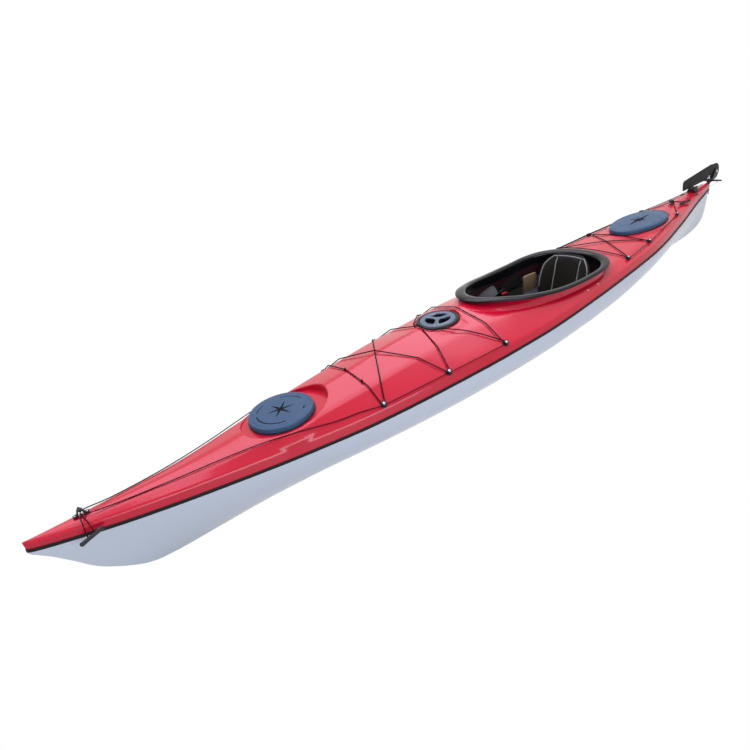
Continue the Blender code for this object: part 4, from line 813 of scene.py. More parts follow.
    def deck_half(self, x: float) -> list:
        """Half section of the deck with its edge, crease and ridge rounded, from the seam to the ridge.

        Args:
            x: the station.

        Returns:
            Points as (y, z); every station has the same number.
        """
        corners = [np.array(c) for c in self.deck_corners(x)]
        mirror = np.array((-corners[3][0], corners[3][1]))
        rounds = {1: (.007, 5), 2: (.016, 7), 3: (.04, 3)}
        spans = [6, 12, 4, 5]
        half = []
        start = corners[0]
        for i in range(1, 5):
            corner = corners[i]
            after = corners[i + 1] if i < 4 else mirror
            before_len = float(np.linalg.norm(corner - corners[i - 1]))
            after_len = float(np.linalg.norm(after - corner))
            if i == 4:
                cut = min(.02, .45 * before_len)
                stop = corner + (corners[3] - corner) * cut / before_len
                half += [start + (stop - start) * k / spans[3] for k in range(spans[3])]
                other = np.array((-stop[0], stop[1]))
                half += [(1 - t) ** 2 * stop + 2 * t * (1 - t) * corner + t * t * other
                         for t in (0.0, .125, .25, .375, .5)]
                break
            size, steps = rounds[i]
            cut = min(size, .45 * before_len, .45 * after_len)
            stop = corner + (corners[i - 1] - corner) * cut / before_len
            leave = corner + (after - corner) * cut / after_len
            half += [start + (stop - start) * k / spans[i - 1] for k in range(spans[i - 1])]
            half += [(1 - t) ** 2 * stop + 2 * t * (1 - t) * corner + t * t * leave
                     for t in [k / steps for k in range(steps)]]
            start = leave
        return [(float(y), float(z)) for y, z in half]

    def deck_z(self, x: float, y: float) -> float:
        """Height of the bare deck."""
        half = self.deck_half(x)
        return float(np.interp(abs(y), [p[0] for p in reversed(half)], [p[1] for p in reversed(half)]))

    def with_pads(self, x: float, y: float, z: float) -> float:
        """Raise a point of the deck to the moulded pads, with a soft fillet at their foot.

        Args:
            x: place along the boat.
            y: place across it.
            z: height of the bare deck there.

        Returns:
            The height with the pads.
        """
        for hatch in self.hatches:
            reach = math.hypot((x - hatch.pad_x) / hatch.pad_a, y / hatch.pad_b)
            outside = (reach - 1) * hatch.pad_b - self.pad_wall
            if outside < .06:
                part = max(0.0, outside) / self.pad_flare
                pad = hatch.seat - self.pad_depth * (part ** 1.6 if part < 1 else 4 * part - 3)
                near = .008
                lap = max(near - abs(z - pad), 0) / near
                z = max(z, pad) + lap * lap * near / 4
        return z

    def stations(self) -> list[float]:
        """Stations along the boat: close together at the stems and round the hatches."""
        stem = .194
        xs = [self.bow_x + stem * (k / 18) ** 1.35 for k in range(18)]
        x = self.bow_x + stem
        while x < 2.02:
            xs.append(x)
            near = x < -1.88 or -.3 < x < -.09 or any(abs(x - h.pad_x) < h.pad_a + .045 for h in self.hatches)
            x += .0075 if near else .018
        return xs + [2.020, 2.036, 2.050, 2.060, 2.068, 2.074, 2.079, 2.083, self.stern_x]


@dataclass
class CockpitOutline:
    """Plan of the coaming: blend 0 is the lip's outer edge and 1 is the opening's edge."""

    lines: BoatLines
    wide_x: float = .400
    lip: tuple[float, float, float] = (-.2513, .7003, .264)
    opening: tuple[float, float, float] = (-.1897, .6448, .227)
    front_power: float = 2.4
    rear_power: float = 2.8
    steps: int = 240
    spaced: list[float] = field(default_factory=list)

    def reaches(self, aft: bool) -> tuple[float, float]:
        """How far the lip and the opening reach from the widest station, aft or forward."""
        if aft:
            return self.lip[1] - self.wide_x, self.opening[1] - self.wide_x
        return self.wide_x - self.lip[0], self.wide_x - self.opening[0]

    def point(self, angle: float, blend: float) -> tuple[float, float]:
        """A point of the plan at an angle round the cockpit."""
        c, s = math.cos(angle), math.sin(angle)
        along = math.copysign(abs(c) ** (2 / (self.rear_power if c > 0 else self.front_power)), c)
        outer, inner = self.reaches(c > 0)
        first = (self.wide_x + outer * along, self.lip[2] * s)
        last = (self.wide_x + inner * along, self.opening[2] * s)
        return first[0] + (last[0] - first[0]) * blend, first[1] + (last[1] - first[1]) * blend

    def holds(self, x: float, y: float, blend: float) -> bool:
        """Whether a point of the plan lies inside the loop of a blend."""
        aft = x > self.wide_x
        outer, inner = self.reaches(aft)
        long = outer + (inner - outer) * blend
        wide = self.lip[2] + (self.opening[2] - self.lip[2]) * blend
        power = self.rear_power if aft else self.front_power
        return (abs(x - self.wide_x) / long) ** power + (y / wide) ** 2 < 1

    def angles(self) -> list[float]:
        """Angles that space the points evenly."""
        if not self.spaced:
            dense = [2 * math.pi * i / 2880 for i in range(2881)]
            plan = np.array([self.point(t, 0) for t in dense])
            run = np.concatenate([[0], np.cumsum(np.linalg.norm(np.diff(plan, axis=0), axis=1))])
            self.spaced = [float(np.interp(run[-1] * i / self.steps, run, dense)) for i in range(self.steps)]
        return self.spaced

    def ring(self, blend: float, drop: float, flat_z: Optional[float] = None) -> Ring:
        """A loop round the cockpit, at a drop below the lip's line or at one height."""
        ring = []
        for angle in self.angles():
            x, y = self.point(angle, blend)
            z = self.lines.lip_z(self.point(angle, 0)[0]) - drop if flat_z is None else flat_z
            ring.append((x, y, z))
        return ring

    def foot(self, blend_shift: float, lift: float, flat_z: Optional[float] = None) -> Ring:
        """A loop on the deck along the collar's foot.

        Args:
            blend_shift: added to the foot's blend.
            lift: height over the deck.
            flat_z: one height for the whole loop instead.

        Returns:
            The loop.
        """
        ring = []
        for angle in self.angles():
            lip_x = self.point(angle, 0)[0]
            x, y = self.point(angle, self.lines.collar_foot(lip_x) + blend_shift)
            z = min(self.lines.with_pads(x, y, self.lines.deck_z(x, y)), self.lines.lip_z(lip_x) - .0095)
            ring.append((x, y, z + lift if flat_z is None else flat_z))
        return ring


# Shells

@dataclass
class Shells:
    """The two laminates and the band round their joint."""

    lines: BoatLines
    cockpit: CockpitOutline
    band_half_height: float = .007
    band_thickness: float = .0022

    def dress(self) -> None:
        """Build the hull, the deck and the band."""
        hand_over(self.hull(), "boat", "hull_shell", slot="white_gelcoat")
        hand_over(self.deck(), "boat", "deck_shell", slot="red_gelcoat")
        hand_over(self.band(), "boat", "seam_band", slot="black_seam_tape")

    def shell(self, outer: list, inner: list) -> tuple[list, list, list]:
        """Join two open skins of the same layout into a closed shell.

        Args:
            outer: sections of the outer face, each from one edge to the other.
            inner: sections of the inner face.

        Returns:
            Points, faces, and 0 or 1 for each face: outer or inner finish.
        """
        rings, count = len(outer), len(outer[0])
        verts = [v for ring in outer for v in ring] + [v for ring in inner for v in ring]
        start = rings * count
        faces, kinds = [], []
        for i in range(rings - 1):
            for j in range(count - 1):
                a = i * count + j
                b = start + a
                faces += [(a, a + 1, a + count + 1, a + count), (b, b + count, b + count + 1, b + 1)]
                kinds += [0, 1]
            for j in (0, count - 1):
                a = i * count + j
                faces.append((a, a + count, start + a + count, start + a))
                kinds.append(0)
        for ring in (0, rings - 1):
            base = ring * count
            for j in range(count - 1):
                faces.append((base + j, base + j + 1, start + base + j + 1, start + base + j))
                kinds.append(0)
        return verts, faces, kinds

    def hull(self) -> bpy.types.Object:
        """Hull: white gelcoat outside, flow-coated roving inside."""
        outer, inner = [], []
        for x in self.lines.stations():
            half = self.lines.hull_half(x)
            outer.append(half + [(px, -y, z) for px, y, z in reversed(half)])
            at = self.lines.inner_x(x)
            half = self.lines.hull_half(at, self.lines.laminate, self.lines.keel_fill(at))
            inner.append(half + [(px, -y, z) for px, y, z in reversed(half)])
        verts, faces, kinds = self.shell(outer, inner)
        mesh = build_mesh("hull", verts, faces, smooth=35, materials=kinds)
        return add_piece("hull", mesh, WHITE_GELCOAT, ROVING)

    def deck(self) -> bpy.types.Object:
        """Deck: pads and collar raised from it, recesses, mouths and cockpit cut through it."""
        lines = self.lines
        outer, inner = [], []
        for x in lines.stations():
            half = [(x, y, lines.with_pads(x, y, z)) for y, z in lines.deck_half(x)]
            outer.append(half + [(px, -y, z) for px, y, z in reversed(half[:-1])])
            at = lines.inner_x(x)
            half = []
            for k, (y, z) in enumerate(lines.deck_half(at)):
                z = lines.with_pads(at, y, z)
                for hatch in lines.hatches:
                    if math.hypot((at - hatch.pad_x) / (hatch.pad_a + .014), y / (hatch.pad_b + .014)) < 1:
                        z = min(z, hatch.seat)
                rim = 0.0 if k == 0 else lines.laminate
                half.append((at, max(0.0, y - lines.laminate) if y > .02 else y, z - rim))
            inner.append(half + [(px, -y, z) for px, y, z in reversed(half[:-1])])
        verts, faces, kinds = self.shell(outer, inner)
        mesh = build_mesh("deck", verts, faces, materials=kinds)
        deck = add_piece("deck", mesh, RED_GELCOAT, DECK_LAMINATE)
        cut = self.cockpit
        collar = [cut.ring(.985, .0088), cut.ring(.80, .0088), cut.ring(.765, .0100), cut.ring(.745, .0130)]
        top, foot = cut.ring(.745, .0130), cut.foot(0.0, .0006)
        out = cut.foot(-.16, -.0030)
        for part, pull in ((.35, .0), (.65, .1), (.88, .3)):
            ring = []
            for a, b, c in zip(top, foot, out):
                base = [p + (q - p) * pull for p, q in zip(b, c)]
                ring.append(tuple(p + (q - p) * part for p, q in zip(a, base)))
            collar.append(ring)
        collar += [cut.foot(-.03, .0026), cut.foot(-.16, -.0030), cut.foot(-.16, 0, .240)]
        carve(deck, "UNION", *loft(collar))
        carve(deck, "DIFFERENCE", *loft([cut.ring(.905, 0, .150), cut.ring(.905, 0, .450)]))
        for hatch in lines.hatches:
            carve(deck, "DIFFERENCE", *loft(self.recess(hatch)))
            a, b = hatch.a - hatch.inset, hatch.b - hatch.inset
            mouth = [[(hatch.x + a * c, b * s, z) for c, s in around(120)] for z in (.200, hatch.seat + .01)]
            carve(deck, "DIFFERENCE", *loft(mouth))
        for face in deck.data.polygons:
            x, y, _ = face.center
            if cut.holds(x, y, .89) or (face.normal.z < -.05 and cut.holds(x, y, -.35)):
                face.material_index = 1
        even = deck.modifiers.new("even", "WEIGHTED_NORMAL")
        even.keep_sharp = True
        shade(deck, 32)
        apply_modifiers(deck)
        return deck

    def recess(self, hatch: HatchPlace) -> list[Ring]:
        """Rings of the cutter for a hatch's recess, which rounds the deck's edge over into it."""
        rings = []
        for grow, rise in ((0.0, None), (0.0, -.0045), (.0006, -.0024), (.0020, -.0008), (.0045, .0002),
                           (.0090, .0015), (.0090, .080)):
            ring = []
            for c, s in around(160):
                x, y = hatch.pad_x + (hatch.pad_a + grow) * c, (hatch.pad_b + grow) * s
                z = hatch.seat
                if rise is not None:
                    deck_z = self.lines.with_pads(x, y, self.lines.deck_z(x, y))
                    z = max(deck_z + rise, hatch.seat + .0002 + grow * .1)
                ring.append((x, y, z))
            rings.append(ring)
        return rings

    def band(self) -> bpy.types.Object:
        """Half-round vinyl band over the joint."""
        lines = self.lines
        plan = [(x, lines.half_beam(x)) for x in lines.stations()]
        loop = plan + [(x, -y) for x, y in reversed(plan)]
        rings = []
        for i, (x, y) in enumerate(loop):
            before, after = loop[i - 1], loop[(i + 1) % len(loop)]
            way = Vector((after[0] - before[0], after[1] - before[1])).normalized()
            out = Vector((-way.y, way.x))
            if out.dot(Vector((x, y * 8))) < 0:
                out = -out
            z, deep, high = lines.seam_z(x), self.band_thickness, self.band_half_height
            rings.append([(x + out.x * g, y + out.y * g, z + dz * high) for g, dz in (
                (.0006, -1), (.0006 + deep * .6, -.92), (.0006 + deep * .92, -.70), (.0006 + deep, -.35),
                (.0006 + deep, .35), (.0006 + deep * .92, .70), (.0006 + deep * .6, .92), (.0006, 1))])
        mesh = build_mesh("band", *loft(rings, closed_path=True), smooth=50)
        return add_piece("seam_vinyl_band", mesh, SEAM_VINYL)


@dataclass
class Coaming:
    """Cockpit rim: a thin rolled lip for the spray cover over an upright wall."""

    cockpit: CockpitOutline
    profile: tuple[tuple[float, float], ...] = (
        (.060, .0014), (.020, .0040), (-.003, .0042), (-.012, .0026), (-.012, .0002), (.004, -.0018),
        (.035, -.0036), (.10, -.0052), (.22, -.0065), (.38, -.0072), (.55, -.0070), (.72, -.0058),
        (.86, -.0036),
        (.94, -.0008), (.985, .0028), (1.0, .0075), (1.0, .0485), (.990, .0500), (.938, .0500), (.925, .0485),
        (.925, .0082), (.90, .0076), (.745, .0076), (.705, .0062), (.665, .0016), (.640, .0006),
        (.130, .0004))

    def dress(self) -> None:
        """Build the coaming."""
        rings = []
        for angle in self.cockpit.angles():
            z = self.cockpit.lines.lip_z(self.cockpit.point(angle, 0)[0])
            rings.append([(*self.cockpit.point(angle, blend), z - drop) for blend, drop in self.profile])
        mesh = build_mesh("coaming", *loft(rings, closed_path=True), smooth=60)
        rim = add_piece("cockpit_rim", mesh, BLACK_GELCOAT)
        hand_over(rim, "boat", "cockpit_coaming", slot="black_gelcoat")


# Hatches

@dataclass
class RubberHatch:
    """A pull-off rubber lid with a moulded star, on its bonded rim."""

    label: str
    place: HatchPlace
    arms: tuple[tuple[float, float, float], ...]
    arcs: tuple[tuple[float, float], ...]
    spin: float = 0.0
    steps_round: int = 216
    steps_out: int = 46

    def dress(self) -> None:
        """Build the rim and the lid."""
        hatch = self.place
        profile = [(-.0205, -.0120), (-.0178, -.0120), (-.0175, -.0115), (-.0175, .0003), (.0024, .0003),
                   (.0030, .0008), (.0030, .0030), (.0024, .0035), (-.0060, .0035), (-.0065, .0040),
                   (-.0065, .0185), (-.0070, .0190), (-.0110, .0190), (-.0115, .0185), (-.0205, .0020)]
        rings = turned(profile, (hatch.x, 0, hatch.seat), hatch.a, hatch.b, 160)
        mesh = build_mesh("rim", *loft(rings, closed_path=True), smooth=30)
        rim = add_piece(self.label + "_rim", mesh, BLACK_NYLON)
        hand_over(rim, "boat", self.label + "_hatch_rim", slot="black_nylon")
        hand_over(self.lid(), self.label + "_lid", self.label + "_hatch_lid", slot="hatch_rubber")

    def oval(self, grow: float, rise: float) -> Ring:
        """A loop beside the lid's edge, grown by a distance and raised over the seat."""
        hatch = self.place
        return [(hatch.x + (hatch.a + grow) * c, (hatch.b + grow) * s, hatch.seat + rise)
                for c, s in around(self.steps_round)]

    def relief(self, u: float, v: float, grown: float) -> float:
        """Depth of the moulded pattern.

        Args:
            u: fore-and-aft distance from the lid's middle.
            v: athwart distance.
            grown: fraction of the way out to the lid's edge.

        Returns:
            Depth below the crown, positive down.
        """
        angle, far = math.degrees(math.atan2(v, u)) - self.spin, math.hypot(u, v)
        depth = 0.0
        for turn, length, width in self.arms:
            off = abs((angle - turn + 180) % 360 - 180)
            if off < 90 and far < length:
                across = far * math.sin(math.radians(off))
                room = width * (1 - far / length)
                if across < room:
                    wall = min(1.0, (room - across) / .0028)
                    tip = min(1.0, 6 * (1 - far / length))
                    depth = max(depth, .0030 * wall * tip)
        for turn, half_width in self.arcs:
            off = abs((angle - turn + 180) % 360 - 180)
            if off < half_width:
                groove = math.exp(-((grown - .73) / .024) ** 2)
                depth = max(depth, .0026 * groove * min(1.0, (half_width - off) / 6))
        return depth

    def lid(self) -> bpy.types.Object:
        """The lid: skirt, rolled shoulder, rim groove and a crowned top with the star sunk into it."""
        hatch = self.place
        skirt = [(-.0055, .0196), (-.0055, .0048), (-.0050, .0042), (-.0006, .0042), (0, .0048), (0, .0090),
                 (-.0007, .0098), (-.0007, .0112), (0, .0120), (0, .0188), (-.0006, .0214), (-.0022, .0236),
                 (-.0046, .0248), (-.0080, .0251), (-.0108, .0246), (-.0126, .0233), (-.0140, .0233),
                 (-.0158, .0246), (-.0190, .0262)]
        verts, faces = [], []
        for r, z in skirt:
            verts += self.oval(r, z)
        start = skirt[-1][0]
        n = self.steps_round
        for k in range(1, self.steps_out + 1):
            part = 1 - k / self.steps_out
            for c, s in around(n):
                u, v = (hatch.a + start) * part * c, (hatch.b + start) * part * s
                crown = .0262 + .0022 * (1 - part ** 2)
                grown = part * (hatch.b + start) / hatch.b
                verts.append((hatch.x + u, v, hatch.seat + crown - self.relief(u, v, grown)))
        for row in range(len(skirt) + self.steps_out - 1):
            a, b = row * n, (row + 1) * n
            faces += [(a + j, a + (j + 1) % n, b + (j + 1) % n, b + j) for j in range(n)]
        floor = len(verts)
        verts += self.oval(-.0055, .0200) + self.oval(-.0190, .0200)
        faces += [(j, floor + j, floor + (j + 1) % n, (j + 1) % n) for j in range(n)]
        faces += [(floor + j, floor + n + j, floor + n + (j + 1) % n, floor + (j + 1) % n) for j in range(n)]
        faces.append(tuple(floor + n + j for j in range(n)))
        # Top faces sunk in the star and arcs take the darker groove rubber: painted shade in the recesses
        kinds = []
        for face in faces:
            u = sum(verts[k][0] for k in face) / len(face) - hatch.x
            v = sum(verts[k][1] for k in face) / len(face)
            top = min(verts[k][2] for k in face) > hatch.seat + .0205 and len(face) == 4
            kinds.append(int(top and self.relief(u, v, math.hypot(u / hatch.a, v / hatch.b)) > .0011))
        mesh = build_mesh("lid", verts, faces, smooth=38, materials=kinds)
        return add_piece(self.label + "_lid", mesh, HATCH_RUBBER, PAINTED_SHADE_RUBBER)


@dataclass
class ScrewHatch:
    """The small screw-in hatch: bezel, lid with a three-armed grip, and the pod under it."""

    place: HatchPlace
    steps_round: int = 168

    def dress(self) -> None:
        """Build the bezel, the lid and the pod."""
        hatch = self.place
        centre = (hatch.x, 0, hatch.seat)
        bezel = [(.0745, -.0215), (.0750, -.0220), (.0770, -.0220), (.0775, -.0215), (.0775, .0003),
                 (.1012, .0003), (.1020, .0010), (.1020, .0036), (.1008, .0058), (.0985, .0082),
                 (.0960, .0096),
                 (.0930, .0101), (.0870, .0101), (.0857, .0096), (.0852, .0086), (.0852, .0040),
                 (.0846, .0034),
                 (.0745, .0034)]
        mesh = build_mesh("rim", *loft(turned(bezel, centre), closed_path=True), smooth=34)
        hand_over(add_piece("day_rim", mesh, HATCH_ABS), "boat", "day_hatch_rim", slot="black_nylon")
        hand_over(self.lid(), "day_lid", "day_hatch_lid", slot="hatch_rubber")
        wall = [(.0655, -.1295), (.0675, -.1270), (.0855, -.1045), (.0860, -.1020), (.0875, -.0056),
                (.0870, -.0052), (.0800, -.0052), (.0795, -.0057), (.0795, -.0072), (.0850, -.0076),
                (.0835, -.1030), (.0650, -.1270)]
        rings = [[(centre[0] + r * c, r * s, centre[2] + z) for c, s in around(96)] for r, z in wall]
        pod = add_piece("day_pod", build_mesh("pod", *loft(rings), smooth=34), POD_SHEET)
        hand_over(pod, "boat", "day_hatch_pod", slot="pod_plastic")

    def top(self, u: float, v: float) -> float:
        """Height of the lid's face: a ring, a hub and three arms that bridge deep finger wells."""
        far, angle = math.hypot(u, v), math.atan2(v, u)
        off = min(abs(math.atan2(math.sin(angle - turn), math.cos(angle - turn)))
                  for turn in (math.radians(t) for t in (100, 220, 340)))
        across, along = far * math.sin(min(off, math.pi / 2)), far * math.cos(off)
        room = .0075 + .0075 * max(0.0, (far - .030) / .034) ** 1.5
        edge = max(.0605 - far, 0.0)
        side = max(across - room, 0.0) if along > 0 else far
        hub = max(far - .0155, 0.0)
        gap = min(edge, side, hub)
        well = min(1.0, gap / .0065)
        well = well * well * (3 - 2 * well)
        arm = .0102 + .0012 * math.cos(min(1.0, far / .066) * math.pi / 2)
        return arm * (1 - well) - .0120 * well

    def lid(self) -> bpy.types.Object:
        """The lid, closed underneath by a face that follows the wells."""
        hatch, n = self.place, self.steps_round
        skirt = [(.0700, -.0118), (.0733, -.0118), (.0735, -.0112), (.0735, .0040), (.0836, .0040),
                 (.0843, .0046), (.0845, .0070), (.0838, .0088), (.0822, .0098), (.0795, .0101),
                 (.0720, .0092),
                 (.0690, .0094), (.0660, .0102)]
        rings = [[(hatch.x + r * c, r * s, hatch.seat + z) for c, s in around(n)] for r, z in skirt]
        rows_out = 44
        for k in range(1, rows_out + 1):
            r = .0660 * (1 - k / rows_out)
            rings.append([(hatch.x + r * c, r * s, hatch.seat + self.top(r * c, r * s))
                          for c, s in around(n)])
        for k in range(rows_out, -1, -2):
            r = .0660 * (1 - k / rows_out)
            rings.append([(hatch.x + r * c, r * s, hatch.seat + min(.0070, self.top(r * c, r * s)) - .0030)
                          for c, s in around(n)])
        verts, faces = loft(rings, closed_path=True)
        # Faces low in the finger wells and under the lid take the black rim finish as painted shade; the
        # upper faces take the slate tint, a painted reflection
        kinds = [int(min(verts[k][2] for k in face) < hatch.seat + .0050) for face in faces]
        mesh = build_mesh("lid", verts, faces, smooth=40, materials=kinds)
        return add_piece("day_lid", mesh, PAINTED_REFLECTION_ABS, HATCH_ABS)


# What repeats

@dataclass
class Repeated:
    """Lays copies of one small shape on many places with Geometry Nodes."""

    finish: Finish

    def tree(self) -> tuple[bpy.types.GeometryNodeTree, dict[str, str]]:
        """Build the tree.

        Returns:
            The tree, and the identifier of each named input.
        """
        tree = bpy.data.node_groups.new("lay_copies", "GeometryNodeTree")
        face = tree.interface
        face.new_socket("Geometry", in_out="INPUT", socket_type="NodeSocketGeometry")
        source = face.new_socket("Shape", in_out="INPUT", socket_type="NodeSocketObject")
        size = face.new_socket("Size", in_out="INPUT", socket_type="NodeSocketFloat")
        face.new_socket("Geometry", in_out="OUTPUT", socket_type="NodeSocketGeometry")
        inputs = add_node(tree, "NodeGroupInput").outputs
        spots = add_node(tree, "GeometryNodeMeshToPoints", {"Mesh": inputs["Geometry"]}).outputs["Points"]
        shape = add_node(tree, "GeometryNodeObjectInfo", {"Object": inputs["Shape"]}).outputs["Geometry"]
        marks = {}
        for name, kind in (("facing", "FLOAT_VECTOR"), ("along", "FLOAT_VECTOR"), ("size", "FLOAT")):
            marks[name] = add_node(tree, "GeometryNodeInputNamedAttribute", {"Name": name},
                                   data_type=kind).outputs["Attribute"]
        turn = add_node(tree, "FunctionNodeAxesToRotation", {"Primary Axis": marks["facing"],
                                                             "Secondary Axis": marks["along"]},
                        primary_axis="Z", secondary_axis="X").outputs["Rotation"]
        scale = add_math(tree, "MULTIPLY", marks["size"], inputs["Size"])
        laid = add_node(tree, "GeometryNodeInstanceOnPoints", {
            "Points": spots, "Instance": shape, "Rotation": turn, "Scale": scale}).outputs["Instances"]
        real = add_node(tree, "GeometryNodeRealizeInstances", {"Geometry": laid}).outputs["Geometry"]
        dressed = add_node(tree, "GeometryNodeSetMaterial",
                           {"Geometry": real, "Material": self.finish.material()})
        add_node(tree, "NodeGroupOutput", {"Geometry": dressed.outputs["Geometry"]})
        return tree, {"Shape": source.identifier, "Size": size.identifier}

    def lay(self, name: str, shape: bpy.types.Mesh, places: Sequence[tuple],
            size: float = 1.0) -> bpy.types.Object:
        """Lay the copies.

        Args:
            name: the piece's name.
            shape: the mesh that is repeated, standing on its origin along +Z.
            places: for each copy its point, the way its +Z faces, the way its +X runs, and its own size.
            size: size of all the copies.

        Returns:
            One plain piece.
        """
        base = bpy.data.meshes.new(name)
        base.from_pydata([tuple(p[0]) for p in places], [], [])
        for key, kind, column in (("facing", "FLOAT_VECTOR", 1), ("along", "FLOAT_VECTOR", 2)):
            layer = base.attributes.new(key, kind, "POINT")
            layer.data.foreach_set("vector", [c for p in places for c in Vector(p[column]).normalized()])
        base.attributes.new("size", "FLOAT", "POINT").data.foreach_set(
            "value", [p[3] if len(p) > 3 else 1.0 for p in places])
        made = bpy.data.objects.new(name, base)
        bpy.context.scene.collection.objects.link(made)
        source = bpy.data.objects.new("shape", shape)
        bpy.context.scene.collection.objects.link(source)
        tree, sockets = self.tree()
        step = made.modifiers.new("lay", "NODES")
        step.node_group = tree
        step[sockets["Shape"]] = source
        step[sockets["Size"]] = size
        apply_modifiers(made)
        bpy.data.objects.remove(source, do_unlink=True)
        for key in ("facing", "along", "size"):
            if key in made.data.attributes:
                made.data.attributes.remove(made.data.attributes[key])
        shade(made, 40)
        return made


@dataclass(frozen=True)
class Screw:
    """A pan-head screw with a cross recess, standing on its seat."""

    radius: float = .0048
    height: float = .0022
    steps: int = 24

    def mesh(self) -> bpy.types.Mesh:
        """The head, with its recess sunk into it."""
        rings = []
        for part, rise in ((1.0, -.0006), (1.0, .35), (.93, .62), (.80, .84), (.62, .96), (.44, 1.0)):
            rings.append([(self.radius * part * c, self.radius * part * s, self.height * rise)
                          for c, s in around(self.steps)])
        inner = []
        for i in range(self.steps):
            t = 2 * math.pi * i / self.steps
            slot = abs(math.sin(2 * t)) ** .5
            r = self.radius * (.44 - .26 * slot)
            inner.append((r * math.cos(t), r * math.sin(t), self.height))
        rings.append(inner)
        rings.append([(x * .6, y * .6, self.height * .35) for x, y, _ in inner])
        return build_mesh("screw", *loft(rings), smooth=35)


@dataclass(frozen=True)
class DeckPlan:
    """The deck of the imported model, straight between its stations, and the fittings that stand on it."""

    lines: BoatLines
    stations: tuple[float, ...] = (
        -2.222, -2.205, -2.180, -2.150, -2.120, -2.090, -2.060, -2.025, -1.990, -1.950, -1.900, -1.850,
        -1.750, -1.600, -1.456, -1.280, -1.100, -.952, -.790, -.627, -.460, -.301, -.120, .050, .220, .400,
        .580,
        .765, .900, 1.027, 1.200, 1.350, 1.474, 1.600, 1.740,
        1.850, 1.920, 1.970, 2.015, 2.045, 2.065, 2.077, 2.086)
    fittings: tuple[tuple[str, float, float], ...] = (
        ("fore_1", -.952, .2243), ("fore_2", -.627, .260), ("fore_3", -.301, .285),
        ("aft_1", .765, .221), ("aft_2", 1.027, .192), ("aft_3", 1.474, .112))

    def bare(self, x: float, y: float) -> float:
        """Height of the deck without its pads."""
        i = min(max(int(np.searchsorted(self.stations, x, side="right")) - 1, 0), len(self.stations) - 2)
        low, high = self.stations[i:i + 2]
        part = min(max((x - low) / (high - low), 0), 1)
        half = [Vector(p).lerp(Vector(q), part)
                for p, q in zip(self.lines.deck_corners(low), self.lines.deck_corners(high))]
        return float(np.interp(abs(y), [p[0] for p in reversed(half)], [p[1] for p in reversed(half)]))

    def height(self, x: float, y: float) -> float:
        """Height of the deck with its hatch pads."""
        z = self.bare(x, y)
        for hatch in self.lines.hatches:
            reach = math.hypot((x - hatch.pad_x) / hatch.pad_a, y / hatch.pad_b)
            if reach < 1.35:
                outside = max(0.0, (reach - 1) * hatch.pad_b - self.lines.pad_wall)
                z = max(z, hatch.seat - outside * self.lines.pad_depth / self.lines.pad_flare)
        return z

    def top(self, x: float, y: float) -> float:
        """Highest point of the deck close to a place, so that a cord lies on it and not in it."""
        near = .005
        return max(self.height(x + dx, y + dy)
                   for dx, dy in ((0, 0), (near, 0), (-near, 0), (0, near), (0, -near)))

    def stand(self, key: str, side: int) -> Matrix:
        """Place and tilt of a fitting.

        Args:
            key: the fitting's name.
            side: the sign of Y on its side.

        Returns:
            Its matrix, with Z up from the deck.
        """
        x, y = next((x, side * y) for name, x, y in self.fittings if name == key)
        step, lift = .012, .0012
        inboard = y - math.copysign(step, y)
        slope_y = (self.bare(x, y) - self.bare(x, inboard)) / (y - inboard)
        slope_x = (self.bare(x + step, y) - self.bare(x - step, y)) / (2 * step)
        up = Vector((-slope_x, -slope_y, 1)).normalized()
        along = (Vector((1, 0, 0)) - up * up.x).normalized()
        turn = Matrix((along, up.cross(along), up)).transposed().to_4x4()
        return Matrix.Translation(Vector((x, y, self.bare(x, y))) + up * lift) @ turn

    def all(self) -> list[tuple[str, Vector, Vector]]:
        """Every fitting: its node, its place and its way up."""
        found = []
        for key, _, _ in self.fittings:
            for side in Side:
                stand = self.stand(key, side.value)
                node = "deck_fitting_%s_%s" % (key, side.word)
                found.append((node, stand.to_translation(), stand.col[2].xyz))
        return found


